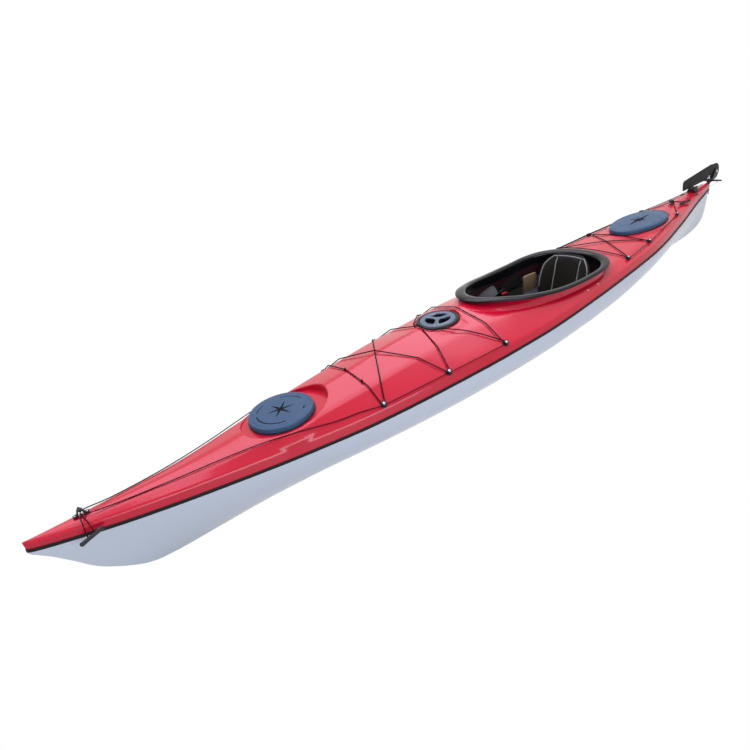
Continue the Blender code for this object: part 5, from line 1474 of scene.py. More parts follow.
@dataclass
class DeckFittings:
    """Mushroom fittings that the cords pass, their screws, the line eyes and the seat bolts."""

    lines: BoatLines
    plan: DeckPlan

    def mushroom(self) -> bpy.types.Mesh:
        """A foot, a stem and a dished cap."""
        profile = [(.0135, -.0016), (.0140, -.0006), (.0136, .0004), (.0110, .0011), (.0048, .0016),
                   (.0036, .0030), (.0035, .0100), (.0046, .0108), (.0104, .0112), (.0116, .0120),
                   (.0117, .0130), (.0108, .0142), (.0092, .0149), (.0078, .0150), (.0068, .0142)]
        rings = [[(r * c, r * s, z) for c, s in around(40)] for r, z in profile]
        return build_mesh("mushroom", *loft(rings), smooth=35)

    def dress(self) -> None:
        """Build the fittings, the eyes and the screws."""
        along = Vector((1, 0, 0))
        found = self.plan.all()
        spots = [(p, up, along) for _, p, up in found]
        body = Repeated(BLACK_NYLON).lay("deck_fittings", self.mushroom(), spots)
        hand_over(body, "boat", *[n for n, _, _ in found], slot="black_nylon")
        heads = [(p + up * .0140, up, Vector((1, .3 * k, 0)), 1.22) for k, (_, p, up) in enumerate(found)]
        for side in Side:
            for x, y in ((.336, .267), (.424, .2635)):
                heads.append((Vector((x, side.value * y, self.lines.deck_z(x, y) + .0008)),
                              Vector((0, side.value * .42, .9)), Vector((1, .2, 0)), .95))
        for x in (-2.045, 1.628):
            for shift in (-.0195, .0195):
                spot = Vector((x + shift, 0, self.lines.ridge_z(x + shift) + .0062))
                heads.append((spot, Vector((0, 0, 1)), along, .62))
        for name in ("bow_fitting", "stern_fitting"):
            eye = softened(name + "_eye", cad(name), BLACK_NYLON, .0012)
            hand_over(eye, "boat", name, slot="black_nylon")
        cleat = softened("jam_cleat", cad("lift_line_cleat"), BLACK_NYLON, .0011)
        hand_over(cleat, "boat", "lift_line_cleat", slot="black_nylon")
        low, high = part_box("lift_line_cleat")
        middle = (Vector(low) + Vector(high)) / 2
        heads.append((Vector((middle.x, middle.y, high[2] - .0004)), Vector((0, .45, .9)), along, .6))
        screws = Repeated(STAINLESS).lay("deck_screws", Screw().mesh(), heads)
        hand_over(screws, "boat", slot="stainless_steel")


# Cords

def even_points(route: Sequence[Point], spacing: float) -> list[Vector]:
    """Points a set distance apart on the curve that the part's source draws through a route.

    Args:
        route: the points that the curve passes.
        spacing: distance between the new points.

    Returns:
        The new points, ends included.
    """
    pts = [Vector(p) for p in route]
    ends = [2 * pts[0] - pts[1]] + pts + [2 * pts[-1] - pts[-2]]
    dense: list[Vector] = []
    for p0, p1, p2, p3 in zip(ends, ends[1:], ends[2:], ends[3:]):
        for k in range(16):
            t = k / 16
            dense.append(.5 * ((2 * p1) + (p2 - p0) * t + (2 * p0 - 5 * p1 + 4 * p2 - p3) * t * t
                               + (3 * p1 - p0 - 3 * p2 + p3) * t ** 3))
    dense.append(pts[-1])
    run = [0.0]
    for a, b in zip(dense, dense[1:]):
        run.append(run[-1] + (b - a).length)
    picked = []
    for d in np.linspace(0, run[-1], max(2, round(run[-1] / spacing) + 1)):
        i = min(int(np.searchsorted(run, d, side="right")) - 1, len(dense) - 2)
        picked.append(dense[i].lerp(dense[i + 1], (d - run[i]) / max(run[i + 1] - run[i], 1e-9)))
    return picked


@dataclass(frozen=True)
class Stop:
    """A fitting that a cord goes to, what it crosses on the way there, and the points that it passes."""

    key: str
    side: int
    crossed: tuple[float, ...] = ()
    via: tuple[tuple[float, float], ...] = ()


@dataclass(frozen=True)
class CordWays:
    """Middle lines of the cords, laid from listed stops over the deck as in the part's own source."""

    deck: DeckPlan
    bungee_d: float = .005
    line_d: float = .004
    bungee_level: float = .0036
    line_level: float = .0088
    stem_r: float = .0035
    clear: float = .0016
    fore_stops: tuple[Stop, ...] = (
        Stop("fore_3", 1), Stop("fore_3", -1),
        Stop("fore_2", 1, (), ((-.488, -.094), (-.5290, -.046), (-.5395, .018), (-.560, .088))),
        Stop("fore_1", -1), Stop("fore_1", 1), Stop("fore_2", -1, (-.800, 0)),
        Stop("fore_3", 1, (-.541, .004), ((-.585, -.160), (-.5460, -.028), (-.5245, .060), (-.470, .106))))
    aft_stops: tuple[Stop, ...] = (
        Stop("aft_1", -1), Stop("aft_1", 1), Stop("aft_2", -1),
        Stop("aft_2", 1, (), ((1.0155, -.050), (1.0155, .050))), Stop("aft_1", -1, (.895, 0)))
    bow_eye_x: float = -2.045
    stern_eye_x: float = 1.628
    fore_line_way: tuple[tuple[float, float], ...] = (
        (-1.050, .206), (-1.150, .186), (-1.284, .158), (-1.345, .142), (-1.440, .114), (-1.550, .086),
        (-1.750, .050), (-1.950, .025))
    aft_line_way: tuple[tuple[float, float], ...] = ((1.530, .077), (1.585, .040))
    lift_line_way: tuple[tuple[float, float], ...] = (
        (.128, .2765), (.250, .2745), (.400, .2730), (.550, .2640), (.660, .2520), (.765, .2380),
        (.890, .2240),
        (1.027, .2090), (1.180, .1815), (1.330, .1550), (1.474, .1290), (1.600, .0920), (1.740, .0560),
        (1.880, .0345), (1.990, .0180), (2.045, .0120))
    cable_way: tuple[Point, ...] = (
        (-.340, .2355, .130), (.050, .2700, .150), (.350, .2640, .160), (.660, .2360, .170),
        (.790, .2150, .175),
        (1.050, .1750, .195), (1.350, .1200, .225), (1.550, .0780, .268), (1.670, .0490, .305),
        (1.745, .0341, .3240))

    def taut(self, start: Vector, end: Vector, thick: float, crossed: Sequence[float]) -> list[Vector]:
        """Points where a taut cord bends over the deck between two places.

        Args:
            start: the first place.
            end: the last place.
            thick: the cord's diameter.
            crossed: place where it lies on top of another run of itself, or nothing.

        Returns:
            The points, without the two places.
        """
        run = math.hypot(end.x - start.x, end.y - start.y)
        count = max(2, round(run / .004))
        profile = [(0.0, start.z)]
        for i in range(1, count):
            t = i / count
            x, y = start.x + (end.x - start.x) * t, start.y + (end.y - start.y) * t
            z = self.deck.top(x, y) + thick / 2 + self.clear
            if crossed and math.hypot(x - crossed[0], y - crossed[1]) < .006:
                z += thick + self.clear
            profile.append((run * t, z))
        upper: list[tuple[float, float]] = []
        for c in profile + [(run, end.z)]:
            while len(upper) > 1:
                a, b = upper[-2:]
                if (b[0] - a[0]) * (c[1] - a[1]) - (b[1] - a[1]) * (c[0] - a[0]) < 0:
                    break
                upper.pop()
            upper.append(c)
        kept = upper[:1]
        for point, after in zip(upper[1:-1], upper[2:]):
            bend = math.atan2(point[1] - kept[-1][1], point[0] - kept[-1][0])
            bend -= math.atan2(after[1] - point[1], after[0] - point[0])
            if bend > math.radians(3):
                kept.append(point)
        return [Vector((start.x + (end.x - start.x) * d / run, start.y + (end.y - start.y) * d / run, z))
                for d, z in kept[1:]]

    def round_stem(self, stop: Stop, arriving: Vector, leaving: Vector, reach: float) -> list[Vector]:
        """Points of a cord that passes round the outboard side of a fitting's stem.

        Args:
            stop: the fitting.
            arriving: where the cord comes from.
            leaving: where it goes to.
            reach: distance of its middle line from the stem's middle.

        Returns:
            Four points.
        """
        stand = self.deck.stand(stop.key, stop.side)
        outboard = math.pi / 2 * stop.side
        angles = []
        for other in (arriving, leaving):
            flat = stand.inverted() @ other
            angle = math.atan2(flat.y, flat.x)
            angle -= 2 * math.pi if angle - outboard > math.pi else 0
            angle += 2 * math.pi if angle - outboard < -math.pi else 0
            angles.append(angle)
        turn = 1 if angles[1] > angles[0] else -1
        start, stop_at = angles[0] + turn * math.pi / 2, angles[1] - turn * math.pi / 2
        points = []
        for i in range(4):
            angle = start + (stop_at - start) * i / 3
            spot = Vector((reach * math.cos(angle), reach * math.sin(angle), self.bungee_level))
            points.append(stand @ spot)
        return points

    def bungee(self, stops: Sequence[Stop]) -> list[Vector]:
        """A shock cord from fitting to fitting."""
        thick = self.bungee_d
        reach = self.stem_r + .0007 + thick / 2
        spots = [self.deck.stand(stop.key, stop.side) for stop in stops]
        centres = [next((x, stop.side * y) for name, x, y in self.deck.fittings if name == stop.key)
                   for stop in stops]
        turns = []
        for i, stop in enumerate(stops):
            beside = []
            for step in (-1, 1):
                if 0 <= i + step < len(stops):
                    via = stops[i if step < 0 else i + 1].via
                    x, y = (via[-1] if step < 0 else via[0]) if via else centres[i + step]
                    beside.append(Vector((x, y, self.deck.bare(x, y))))
            if len(beside) == 2:
                turns.append(self.round_stem(stop, *beside, reach))
            else:
                way = (spots[i].inverted() @ beside[0]).xy.normalized() * reach * 1.6
                turns.append([spots[i] @ Vector((way.x, way.y, self.bungee_level))])
        points = list(turns[0])
        for stop, turn in zip(stops[1:], turns[1:]):
            marks = [points[-1]]
            marks += [Vector((x, y, self.deck.top(x, y) + thick / 2 + self.clear)) for x, y in stop.via]
            marks.append(turn[0])
            for a, b in zip(marks, marks[1:]):
                points += self.taut(a, b, thick, stop.crossed) + [b]
            points += turn[1:]
        return points

    def port_line(self, keys: Sequence[str], turn: int, way: Sequence[tuple[float, float]],
                  eye_x: float) -> list[Vector]:
        """The port half of a deck line, from its end to the middle of the boat.

        Args:
            keys: the fittings that it passes.
            turn: which way it leaves the last of them, -1 forward.
            way: points of its run from there to the eye.
            eye_x: place of the eye along the boat; the line leaves its middle on the side of the fittings.

        Returns:
            Its points.
        """
        outboard = self.stem_r + .0008 + self.line_d / 2
        stands = [self.deck.stand(key, -1) for key in keys]
        places = [stand @ Vector((0, -outboard, self.line_level)) for stand in stands]
        points = []
        for a, b in zip(places, places[1:]):
            points.append(a)
            for t in (.25, .5, .75):
                p = a.lerp(b, t)
                p.z = max(p.z, self.deck.top(p.x, p.y) + self.line_d / 2 + .0012)
                points.append(p)
        points += [places[-1], stands[-1] @ Vector((turn * outboard * .9, -outboard * .9, self.line_level))]
        points += [Vector((x, -y, self.deck.top(x, y) + self.line_d / 2 + .0012)) for x, y in way]
        eye_z = self.deck.lines.ridge_z(eye_x) + .0022 + .0045
        before = .010 if turn < 0 else -.008
        return points + [Vector((eye_x + before, -.0160, eye_z)), Vector((eye_x, -.009, eye_z))]

    def lift_line(self) -> list[Vector]:
        """The rudder's lift line, from its cleat to the stern."""
        route = [(x, y, self.deck.top(x, y) + self.line_d / 2 + .0014) for x, y in self.lift_line_way]
        return even_points(route, .075)

    def cable(self, side: Side) -> list[Vector]:
        """A steering cable's housing, from the foot rail along the hull's side and up out of the deck."""
        return even_points([(x, side.value * y, z) for x, y, z in self.cable_way], .095)


def knot(centre: Vector, along: Vector, radius: float) -> list[Vector]:
    """A trefoil-shaped overhand knot, pulled tight.

    Args:
        centre: its middle.
        along: the way that the cord runs.
        radius: the cord's radius.

    Returns:
        Points of its middle line, closed.
    """
    frame = along.normalized().to_track_quat("Z", "X").to_matrix()
    made = []
    for i in range(72):
        t = 2 * math.pi * i / 72
        raw = Vector((math.sin(t) + 2 * math.sin(2 * t), math.cos(t) - 2 * math.cos(2 * t),
                      -1.4 * math.sin(3 * t)))
        made.append(centre + frame @ (raw * radius * .62))
    return made


@dataclass
class Cords:
    """Deck cords: shock cord, static line, the rudder's lift line, and the steering cables."""

    ways: CordWays

    def dress(self) -> None:
        """Build every cord in the place of its node."""
        ways = self.ways
        for name, stops, knots in (("fore_bungee", ways.fore_stops, ((-.9591, -.112), (-.9591, .008))),
                                   ("aft_bungee", ways.aft_stops, ())):
            path = smooth_path(ways.bungee(stops), .0035)
            parts = [cord_piece(name + "_cord", path, ways.bungee_d / 2, CORD_BRAID)]
            for x, y in knots:
                i = min(range(len(path)), key=lambda j: math.hypot(path[j].x - x, path[j].y - y))
                spot = path[i] + Vector((0, 0, .0012))
                parts.append(self.tied(spot, path[i + 1] - path[i], ways.bungee_d / 2))
            for i, j in ((0, 1), (-1, -2)):
                parts.append(self.tied(path[i], path[i] - path[j], ways.bungee_d / 2 * .8))
            hand_over(join(name + "_cord", parts), "boat", name, slot="shock_cord")
        fore = ways.port_line(("fore_3", "fore_2", "fore_1"), -1, ways.fore_line_way, ways.bow_eye_x)
        aft = ways.port_line(("aft_1", "aft_2", "aft_3"), 1, ways.aft_line_way, ways.stern_eye_x)
        for name, route in (("fore_deck_line", fore), ("aft_deck_line", aft)):
            path = smooth_path(route + [Vector((x, -y, z)) for x, y, z in reversed(route)], .004)
            parts = [cord_piece(name + "_cord", path, ways.line_d / 2, CORD_BRAID)]
            for i, j in ((0, 1), (-1, -2)):
                parts.append(self.tied(path[i], path[i] - path[j], ways.line_d / 2))
            hand_over(join(name + "_cord", parts), "boat", name, slot="shock_cord")
        lift = smooth_path(ways.lift_line(), .005)
        beside = []
        for i, p in enumerate(lift):
            part = i / (len(lift) - 1)
            apart = .0075 * math.sin(math.pi * min(1.0, part * 1.02)) ** .35 if 0 < part < .98 else 0.0
            beside.append(p + Vector((0, -apart, apart * .30)))
        first = cord_piece("lift_line_cord", lift, ways.line_d / 2, CORD_BRAID)
        second = cord_piece("lift_line_return", beside[3:-2], ways.line_d / 2 * .9, CORD_BRAID)
        hand_over(join("lift_line_cord", [first, second]), "boat", "rudder_lift_line", slot="shock_cord")
        self.cables()

    def tied(self, centre: Vector, along: Vector, radius: float) -> bpy.types.Object:
        """A tight knot in a cord."""
        return cord_piece("knot", knot(centre, along, radius), radius * .95, CORD_BRAID, sides=8, closed=True)

    def cables(self) -> None:
        """Steering cables: housings inside the boat, bare strands over the aft deck, and their ferrules."""
        for side in Side:
            housing = cord_piece("cable_housing_" + side.word, smooth_path(self.ways.cable(side), .01), .0018,
                                 BLACK_NYLON)
            start = Vector((1.795, side.value * .0386, .3296))
            end = Vector((2.0965, side.value * .0657, .3633))
            hand_over(housing, "boat", "rudder_cable_" + side.word, slot="black_nylon")
            way = (end - start).normalized()
            run = [start.lerp(end, k / 60) for k in range(61)]
            strand = cord_piece("wire_strand_" + side.word, run, .0011, STAINLESS, sides=8)
            run = [end - way * d for d in (.030, .0295, .016, .0155)]
            sleeve = cord_piece("wire_ferrule", run, .0021, STAINLESS, sides=16)
            hand_over(join("wire_strand_" + side.word, [strand, sleeve]), "wire_" + side.word,
                      "rudder_wire_" + side.word, slot="stainless_steel")
            mouth = start + way * .058
            run = [mouth + way * d for d in (-.030, -.022, -.010, 0, .008, .012)]
            guard = cord_piece("cable_exit_" + side.word, run, .0048, BLACK_NYLON, sides=20,
                               taper=lambda t: 1.0 - .35 * t)
            hand_over(guard, "boat", slot="black_nylon")


# Handles and rudder

@dataclass
class Toggle:
    """A carrying handle: a ribbed bar that hangs on two cords through an eye."""

    word: str
    centre: Point
    way: Point
    length: float
    eye: Point
    width: float = .0080

    def dress(self) -> None:
        """Build the bar with its grip ribs, and the cords."""
        middle, way = Vector(self.centre), Vector(self.way).normalized()
        profile = [(-.500, .30), (-.497, .52), (-.485, .63), (-.455, .92), (-.430, .97), (-.18, .86),
                   (-.15, .84), (.15, .84), (.18, .86), (.430, .97), (.455, .92), (.485, .63), (.497, .52),
                   (.500, .30)]
        side = way.cross(Vector((0, 0, 1))).normalized()
        high = side.cross(way).normalized()
        rings = []
        for t, r in profile:
            centre = middle + way * (t * self.length)
            rings.append([centre + (side * c + high * s) * (self.width * r) for c, s in around(40)])
        bar = add_piece("bar", build_mesh("bar", *loft(rings), smooth=35), BLACK_NYLON)
        ribs = Repeated(BLACK_NYLON).lay("ribs", self.rib(), [
            (middle + way * (self.length * t), way, side, .90 + .25 * abs(t))
            for t in (-.36, -.32, -.28, -.24, -.20, .20, .24, .28, .32, .36)])
        apart, eye = way * .013, Vector(self.eye)
        first = [middle - apart] + [eye + Vector(step) for step in (
            (-.005, -.050, -.002), (0, -.014, 0), (0, .015, 0), (0, .019, .004), (0, .015, .0085))]
        second = [middle + apart] + [eye + Vector(step) for step in (
            (.006, -.050, .0015), (.0015, -.018, .0005))]
        cords = [cord_piece("toggle_cord", smooth_path(route, .003), .0019, CORD_BRAID)
                 for route in (first, second)]
        loop = knot(eye + Vector((0, .0165, .0035)), Vector((0, 1, 0)), .0019)
        stop = cord_piece("toggle_knot", loop, .0018, CORD_BRAID, sides=8, closed=True)
        whole = join(self.word + "_carry_toggle", [bar, ribs, *cords, stop])
        hand_over(whole, self.word + "_handle", self.word + "_toggle", slot="black_nylon")

    def rib(self) -> bpy.types.Mesh:
        """One grip rib, a thin raised ring."""
        profile = [(.0066, -.0008), (.0072, -.0004), (.0072, .0004), (.0066, .0008)]
        rings = [[(r * c, r * s, z) for c, s in around(36)] for r, z in profile]
        return build_mesh("rib", *loft(rings), smooth=40)


@dataclass
class Rudder:
    """Bracket, pin, yoke, flip bolt, blade and the chock that it rests in."""

    pivot: tuple[float, float] = (2.1721, .407)
    half: float = .0055

    def outline(self) -> list[tuple[float, float]]:
        """The blade's side outline, relative to the flip bolt in x, absolute in z."""
        lower = [(-.4151, .385), (-.4051, .3805), (-.112, .3790), (-.086, .3880), (-.062, .4020)]
        head = [(.052 * math.cos(math.radians(a)), .407 + .052 * math.sin(math.radians(a)))
                for a in range(-175, 101, 5)]
        upper = [(-.060, .4640), (-.120, .4610), (-.4031, .4420), (-.4151, .4340)]
        return lower + head + upper

    def blade(self) -> bpy.types.Object:
        """The blade: flat head, and a foil whose faces taper to a thin edge all round."""
        outline = self.outline()
        bm = bmesh.new()
        loop = [bm.verts.new((self.pivot[0] + x, self.half * .42, z)) for x, z in outline]
        top = bm.faces.new(loop)
        bottom = bmesh.ops.extrude_face_region(bm, geom=[top])
        bmesh.ops.translate(bm, verts=[v for v in bottom["geom"] if isinstance(v, bmesh.types.BMVert)],
                            vec=(0, -self.half * .84, 0))
        bm.normal_update()
        for sign in (1, -1):
            for depth, rise in ((.0022, .0016), (.0060, .0010), (.0090, .0005)):
                face = max(bm.faces, key=lambda f: f.normal.y * sign * f.calc_area())
                bmesh.ops.inset_region(bm, faces=[face], thickness=depth, depth=0.0, use_even_offset=True)
                face = max(bm.faces, key=lambda f: f.normal.y * sign * f.calc_area())
                bmesh.ops.translate(bm, verts=list(face.verts), vec=(0, sign * rise, 0))
        mesh = bpy.data.meshes.new("blade")
        bm.to_mesh(mesh)
        bm.free()
        piece = add_piece("rudder_blade_skin", mesh, POWDER_BLACK)
        hole = [[(self.pivot[0] + .0046 * c, y, self.pivot[1] + .0046 * s) for c, s in around(32)]
                for y in (-.02, .02)]
        carve(piece, "DIFFERENCE", *loft(hole))
        shade(piece, 12)
        return piece

    def dress(self) -> None:
        """Build the rudder's pieces."""
        hand_over(self.blade(), "rudder_foil", "rudder_blade", slot="black_nylon")
        for name, body, width in (("rudder_yoke", "rudder_head", .0012), ("rudder_bracket", "boat", .0010),
                                  ("rudder_chock", "boat", .0014)):
            casting = softened(name + "_casting", cad(name), BLACK_NYLON, width)
            hand_over(casting, body, name, slot="black_nylon")
        pin = [(.0040, .2930), (.0062, .2932), (.0065, .2938), (.0065, .2968), (.0060, .2970), (.0038, .2970),
               (.0038, .3795), (.0060, .3795), (.0065, .3798), (.0065, .3814), (.0058, .3820), (.0030, .3823)]
        rings = [[(2.100 + r * c, r * s, z) for c, s in around(32)] for r, z in pin]
        steel = add_piece("rudder_pin_steel", build_mesh("pin", *loft(rings), smooth=30), STAINLESS)
        hand_over(steel, "boat", "rudder_pin", slot="stainless_steel")
        bolt = [(.0040, -.0170), (.0072, -.0168), (.0085, -.0155), (.0085, -.0132), (.0040, -.0130),
                (.0040, .0130), (.0085, .0132), (.0085, .0155), (.0072, .0168), (.0040, .0170)]
        rings = [[(self.pivot[0] + r * c, y, self.pivot[1] + r * s) for c, s in around(32)] for r, y in bolt]
        steel = add_piece("flip_bolt_steel", build_mesh("bolt", *loft(rings), smooth=30), STAINLESS)
        hand_over(steel, "rudder_head", "rudder_flip_bolt", slot="stainless_steel")


# Seat and outfitting

@dataclass
class Padding:
    """A padded form: a sewn cover inflated as cloth, then drawn in along its seams."""

    name: str
    pressure: float = 4.0
    cap: float = .0045
    frames: int = 14

    def inflate(self, piece: bpy.types.Object) -> None:
        rest = np.array([v.co for v in piece.data.vertices])
        step = piece.modifiers.new("cover", "CLOTH")
        settings = step.settings
        settings.use_pressure, settings.uniform_pressure_force = True, self.pressure
        settings.effector_weights.gravity = 0
        settings.mass, settings.quality = .25, 4
        settings.tension_stiffness = settings.compression_stiffness = 30
        settings.bending_stiffness = 1.5
        step.collision_settings.use_collision = False
        step.collision_settings.use_self_collision = False
        for number in range(1, self.frames + 1):
            bpy.context.scene.frame_set(number)
        shaped = piece.evaluated_get(bpy.context.evaluated_depsgraph_get())
        moved = np.array([v.co for v in shaped.data.vertices]) - rest
        piece.modifiers.clear()
        far = np.linalg.norm(moved, axis=1, keepdims=True)
        moved *= np.minimum(1.0, self.cap / np.maximum(far, 1e-9))
        for vertex, place in zip(piece.data.vertices, rest + moved):
            vertex.co = place
        bpy.context.scene.frame_set(1)
        LOG.info("%s: cover moved %.1f mm on average", piece.name, 1000 * np.minimum(far, self.cap).mean())

    def draw_in(self, piece: bpy.types.Object, depth: Callable[[Vector], Vector]) -> None:
        """Sink the sewn channels into the inflated cover.

        Args:
            piece: the cover.
            depth: how far each point moves.
        """
        for vertex in piece.data.vertices:
            vertex.co += depth(vertex.co)
        piece.data.update()

    def grid(self, front: Callable[[float, float], Vector], back: Callable[[float, float], Vector], rows: int,
             columns: int) -> bpy.types.Mesh:
        """Close two surfaces over the same (u, v) square into one form.

        Args:
            front: a point of the padded face for u from 0 to 1 and v from -1 to 1.
            back: a point of the plain face.
            rows: steps along u.
            columns: steps along v.

        Returns:
            The closed mesh.
        """
        verts = []
        for face in (front, back):
            verts += [face(i / rows, -1 + 2 * j / columns)
                      for i in range(rows + 1) for j in range(columns + 1)]
        n, half = columns + 1, (rows + 1) * (columns + 1)
        faces = []
        for i in range(rows):
            for j in range(columns):
                a = i * n + j
                b = half + a
                faces += [(a, a + 1, a + n + 1, a + n), (b, b + n, b + n + 1, b + 1)]
        for i in range(rows):
            for j in (0, columns):
                a = i * n + j
                faces.append((a, a + n, half + a + n, half + a))
        for j in range(columns):
            for i in (0, rows):
                a = i * n + j
                faces.append((a, half + a, half + a + 1, a + 1))
        return build_mesh(self.name, verts, faces, smooth=60)


@dataclass
class Seat:
    """Moulded pan with a sewn cushion, hip pads and a backrest on ladder straps."""

    base_z: float = .0555
    channel_r: float = .0027
    hinge: Point = (.497, 0.0, .098)
    lean: float = math.radians(18)

    def cushion_top(self, u: float, v: float) -> Vector:
        """A point of the cushion's top, before its seams."""
        x = .080 + .390 * u
        draw = .006 * math.sin(math.pi * u)
        corner = min(1.0, (max(min(u, 1 - u), 0) / .09) ** .5)
        y = (.154 - draw) * (.93 + .07 * corner) * v
        rim = max(0.0, (1 - abs(v) ** 6) * (1 - abs(2 * u - 1) ** 8))
        z = self.base_z + .004 + .020 * rim ** .6 * (.72 + .28 * math.sin(math.pi * u) * (1 - .5 * v * v))
        return Vector((x, y, z))

    def cushion_bottom(self, u: float, v: float) -> Vector:
        """The point of the cushion's flat underside below one of its top."""
        return Vector((*self.cushion_top(u, v)[:2], self.base_z))

    def cushion_seam(self, place: Vector) -> Vector:
        """How far the stitching draws a point of the cushion in."""
        u = (place.x - .080) / .390
        if place.z < self.base_z + .007:
            return Vector()
        off = abs(place.y) - .068 - .018 * math.exp(-5 * u)
        edge = max(0.0, min(1.0, (place.z - self.base_z - .007) / .006))
        return Vector((0, 0, -.0065 * math.exp(-(off / .006) ** 2) * edge))

    def back_face(self, v: float, w: float, proud: bool = True) -> Vector:
        """A point of the backrest: its padded face before its seams, or its plain rear face."""
        half = .158 * (.90 + .10 * math.sin(math.pi * min(1.0, 1.1 * v)))
        if v > .72:
            half *= math.sqrt(max(0.0, 1 - ((v - .72) / .33) ** 2))
        y = half * w
        up = .262 * v
        rim = max(0.0, (1 - abs(w) ** 6) * (1 - abs(2 * v - 1) ** 8))
        pad = .004 + .018 * rim ** .6
        x = -.055 * (y / .158) ** 2 + up * math.sin(self.lean) + .012
        z = up * math.cos(self.lean) + .004
        if proud:
            x, z = x - pad * math.cos(self.lean), z + pad * math.sin(self.lean) * .4
        return Vector((x, y, z)) + Vector(self.hinge)

    def back_seam(self, place: Vector) -> Vector:
        """How far the stitching draws a point of the backrest in."""
        leaned = (place.z - self.hinge[2]) * math.tan(self.lean)
        rear = self.hinge[0] - .055 * (place.y / .158) ** 2 + leaned + .012
        edge = max(0.0, min(1.0, (rear - place.x - .008) / .006))
        return Vector((.0065 * math.exp(-((abs(place.y) - .074) / .006) ** 2) * edge, 0, 0))

    def dress(self) -> None:
        """Build the seat's pieces."""
        hand_over(softened("seat_pan_shell", cad("seat_pan"), BLACK_NYLON, .0014), "boat", "seat_pan",
                  slot="black_nylon")
        padding = Padding("cushion")
        form = padding.grid(self.cushion_top, self.cushion_bottom, 96, 84)
        cushion = add_piece("seat_cushion_cover", form, PACK_CLOTH)
        padding.inflate(cushion)
        padding.draw_in(cushion, self.cushion_seam)
        hand_over(cushion, "boat", "seat_cushion", slot="seat_fabric")
        seams = [[self.cushion_top(u, s * (.068 + .018 * math.exp(-5 * u)) / self.half_at(u))
                  for u in self.steps(.045, .955)] for s in (-1, 1)]
        self.piping("cushion_piping", "boat", cushion, Vector((0, 0, -1)), seams + [self.loop_round()])
        cover = Padding("backrest")
        form = cover.grid(self.back_face, lambda u, v: self.back_face(u, v, False), 72, 84)
        back = add_piece("backrest_cover", form, PACK_CLOTH)
        cover.inflate(back)
        cover.draw_in(back, self.back_seam)
        hand_over(back, "back", "backrest", slot="seat_fabric")
        arc = [self.back_face(.30 + .655 * k / 24, -.93) for k in range(24)]
        arc += [self.back_face(.955, w * .01) for w in range(-93, 94, 6)]
        arc += [self.back_face(.955 - .655 * k / 24, .93) for k in range(1, 25)]
        seams = [[self.back_face(v, s * .074 / self.back_half(v)) for v in self.steps(.06, .93)]
                 for s in (-1, 1)]
        inward = Vector((math.cos(self.lean), 0, -math.sin(self.lean)))
        self.piping("backrest_piping", "back", back, inward, seams + [arc])
        for side in Side:
            self.hip_pad(side, Padding("hip_pad", cap=.003))
            hand_over(self.side_panel(side), "boat", slot="closed_cell_foam")
        self.tab()

    def steps(self, low: float, high: float, count: int = 70) -> list[float]:
        """Evenly spaced parameters."""
        return [low + (high - low) * i / count for i in range(count + 1)]

    def half_at(self, u: float) -> float:
        """The cushion's half width at u."""
        return self.cushion_top(u, 1.0).y

    def back_half(self, v: float) -> float:
        """The backrest's half width at v."""
        return max(1e-4, self.back_face(v, 1.0).y)

    def loop_round(self) -> list[Vector]:
        """The cushion's edge, a little inside its rim."""
        ring = []
        for i in range(220):
            t = 2 * math.pi * i / 220
            c, s = math.cos(t), math.sin(t)
            u = .5 + .475 * math.copysign(abs(c) ** .28, c)
            v = .955 * math.copysign(abs(s) ** .28, s)
            ring.append(self.cushion_top(u, v) + Vector((0, 0, .0004)))
        return ring + ring[:1]

    def piping(self, name: str, body: str, cover: bpy.types.Object, inward: Vector,
               routes: list[list[Vector]]) -> None:
        """Light piping laid in the seams, with a row of stitches beside each run.

        Args:
            name: the piece's name.
            body: the body that it moves with.
            cover: the padded piece that it is sewn to.
            inward: the way from outside to the cover's padded face.
            routes: middle lines, drawn to the cover's surface here.
        """
        parts, places = [], []
        for route in routes:
            laid, facing = [], []
            for point in smooth_path(route, .003):
                hit, near, normal, _ = cover.ray_cast(point - inward * .030, inward, distance=.05)
                if hit:
                    laid.append(near + normal * self.channel_r * .35)
                    facing.append(normal)
            parts.append(cord_piece(name, laid, self.channel_r, PIPING_TAPE, sides=10))
            for k in range(0, len(laid) - 1, 2):
                way = laid[k + 1] - laid[k]
                beside = facing[k].cross(way).normalized() * .0046
                _, near, normal, _ = cover.closest_point_on_mesh(laid[k] + beside)
                places.append((near, normal, way, 1.0))
        rings = [[(x, r * c, r * s + .0001) for c, s in around(8)] for x, r in (
            (-.0016, .0002), (-.0011, .00045), (.0011, .00045), (.0016, .0002))]
        stitch = build_mesh("stitch", *loft(rings), smooth=60)
        parts.append(Repeated(PIPING_TAPE).lay(name + "_stitches", stitch, places))
        hand_over(join(name, parts), body, slot="seat_fabric")

    def hip_pad(self, side: Side, padding: Padding) -> None:
        """A sewn pad on the hip plate."""
        def plate(z: float) -> float:
            """The plate's inner face at a height."""
            return (.178 + .037 * (z - .095) / .085 if z < .180 else .215 + .015 * (z - .180) / .082) - .006

        def inner(u: float, v: float) -> Vector:
            """The padded face."""
            w = (v + 1) / 2
            z = .112 + .085 * w
            swell = .018 * (1 - abs(2 * u - 1) ** 3) * (1 - abs(2 * w - 1) ** 3) + .004
            return Vector((.258 + .144 * u, side.value * (plate(z) - swell), z))

        def outer(u: float, v: float) -> Vector:
            """The face on the plate."""
            z = .112 + .085 * (v + 1) / 2
            return Vector((.258 + .144 * u, side.value * plate(z), z))

        name = "hip_pad_" + side.word
        piece = add_piece(name + "_cover", padding.grid(inner, outer, 48, 32), PACK_CLOTH)
        padding.inflate(piece)
        hand_over(piece, "boat", name, slot="closed_cell_foam")

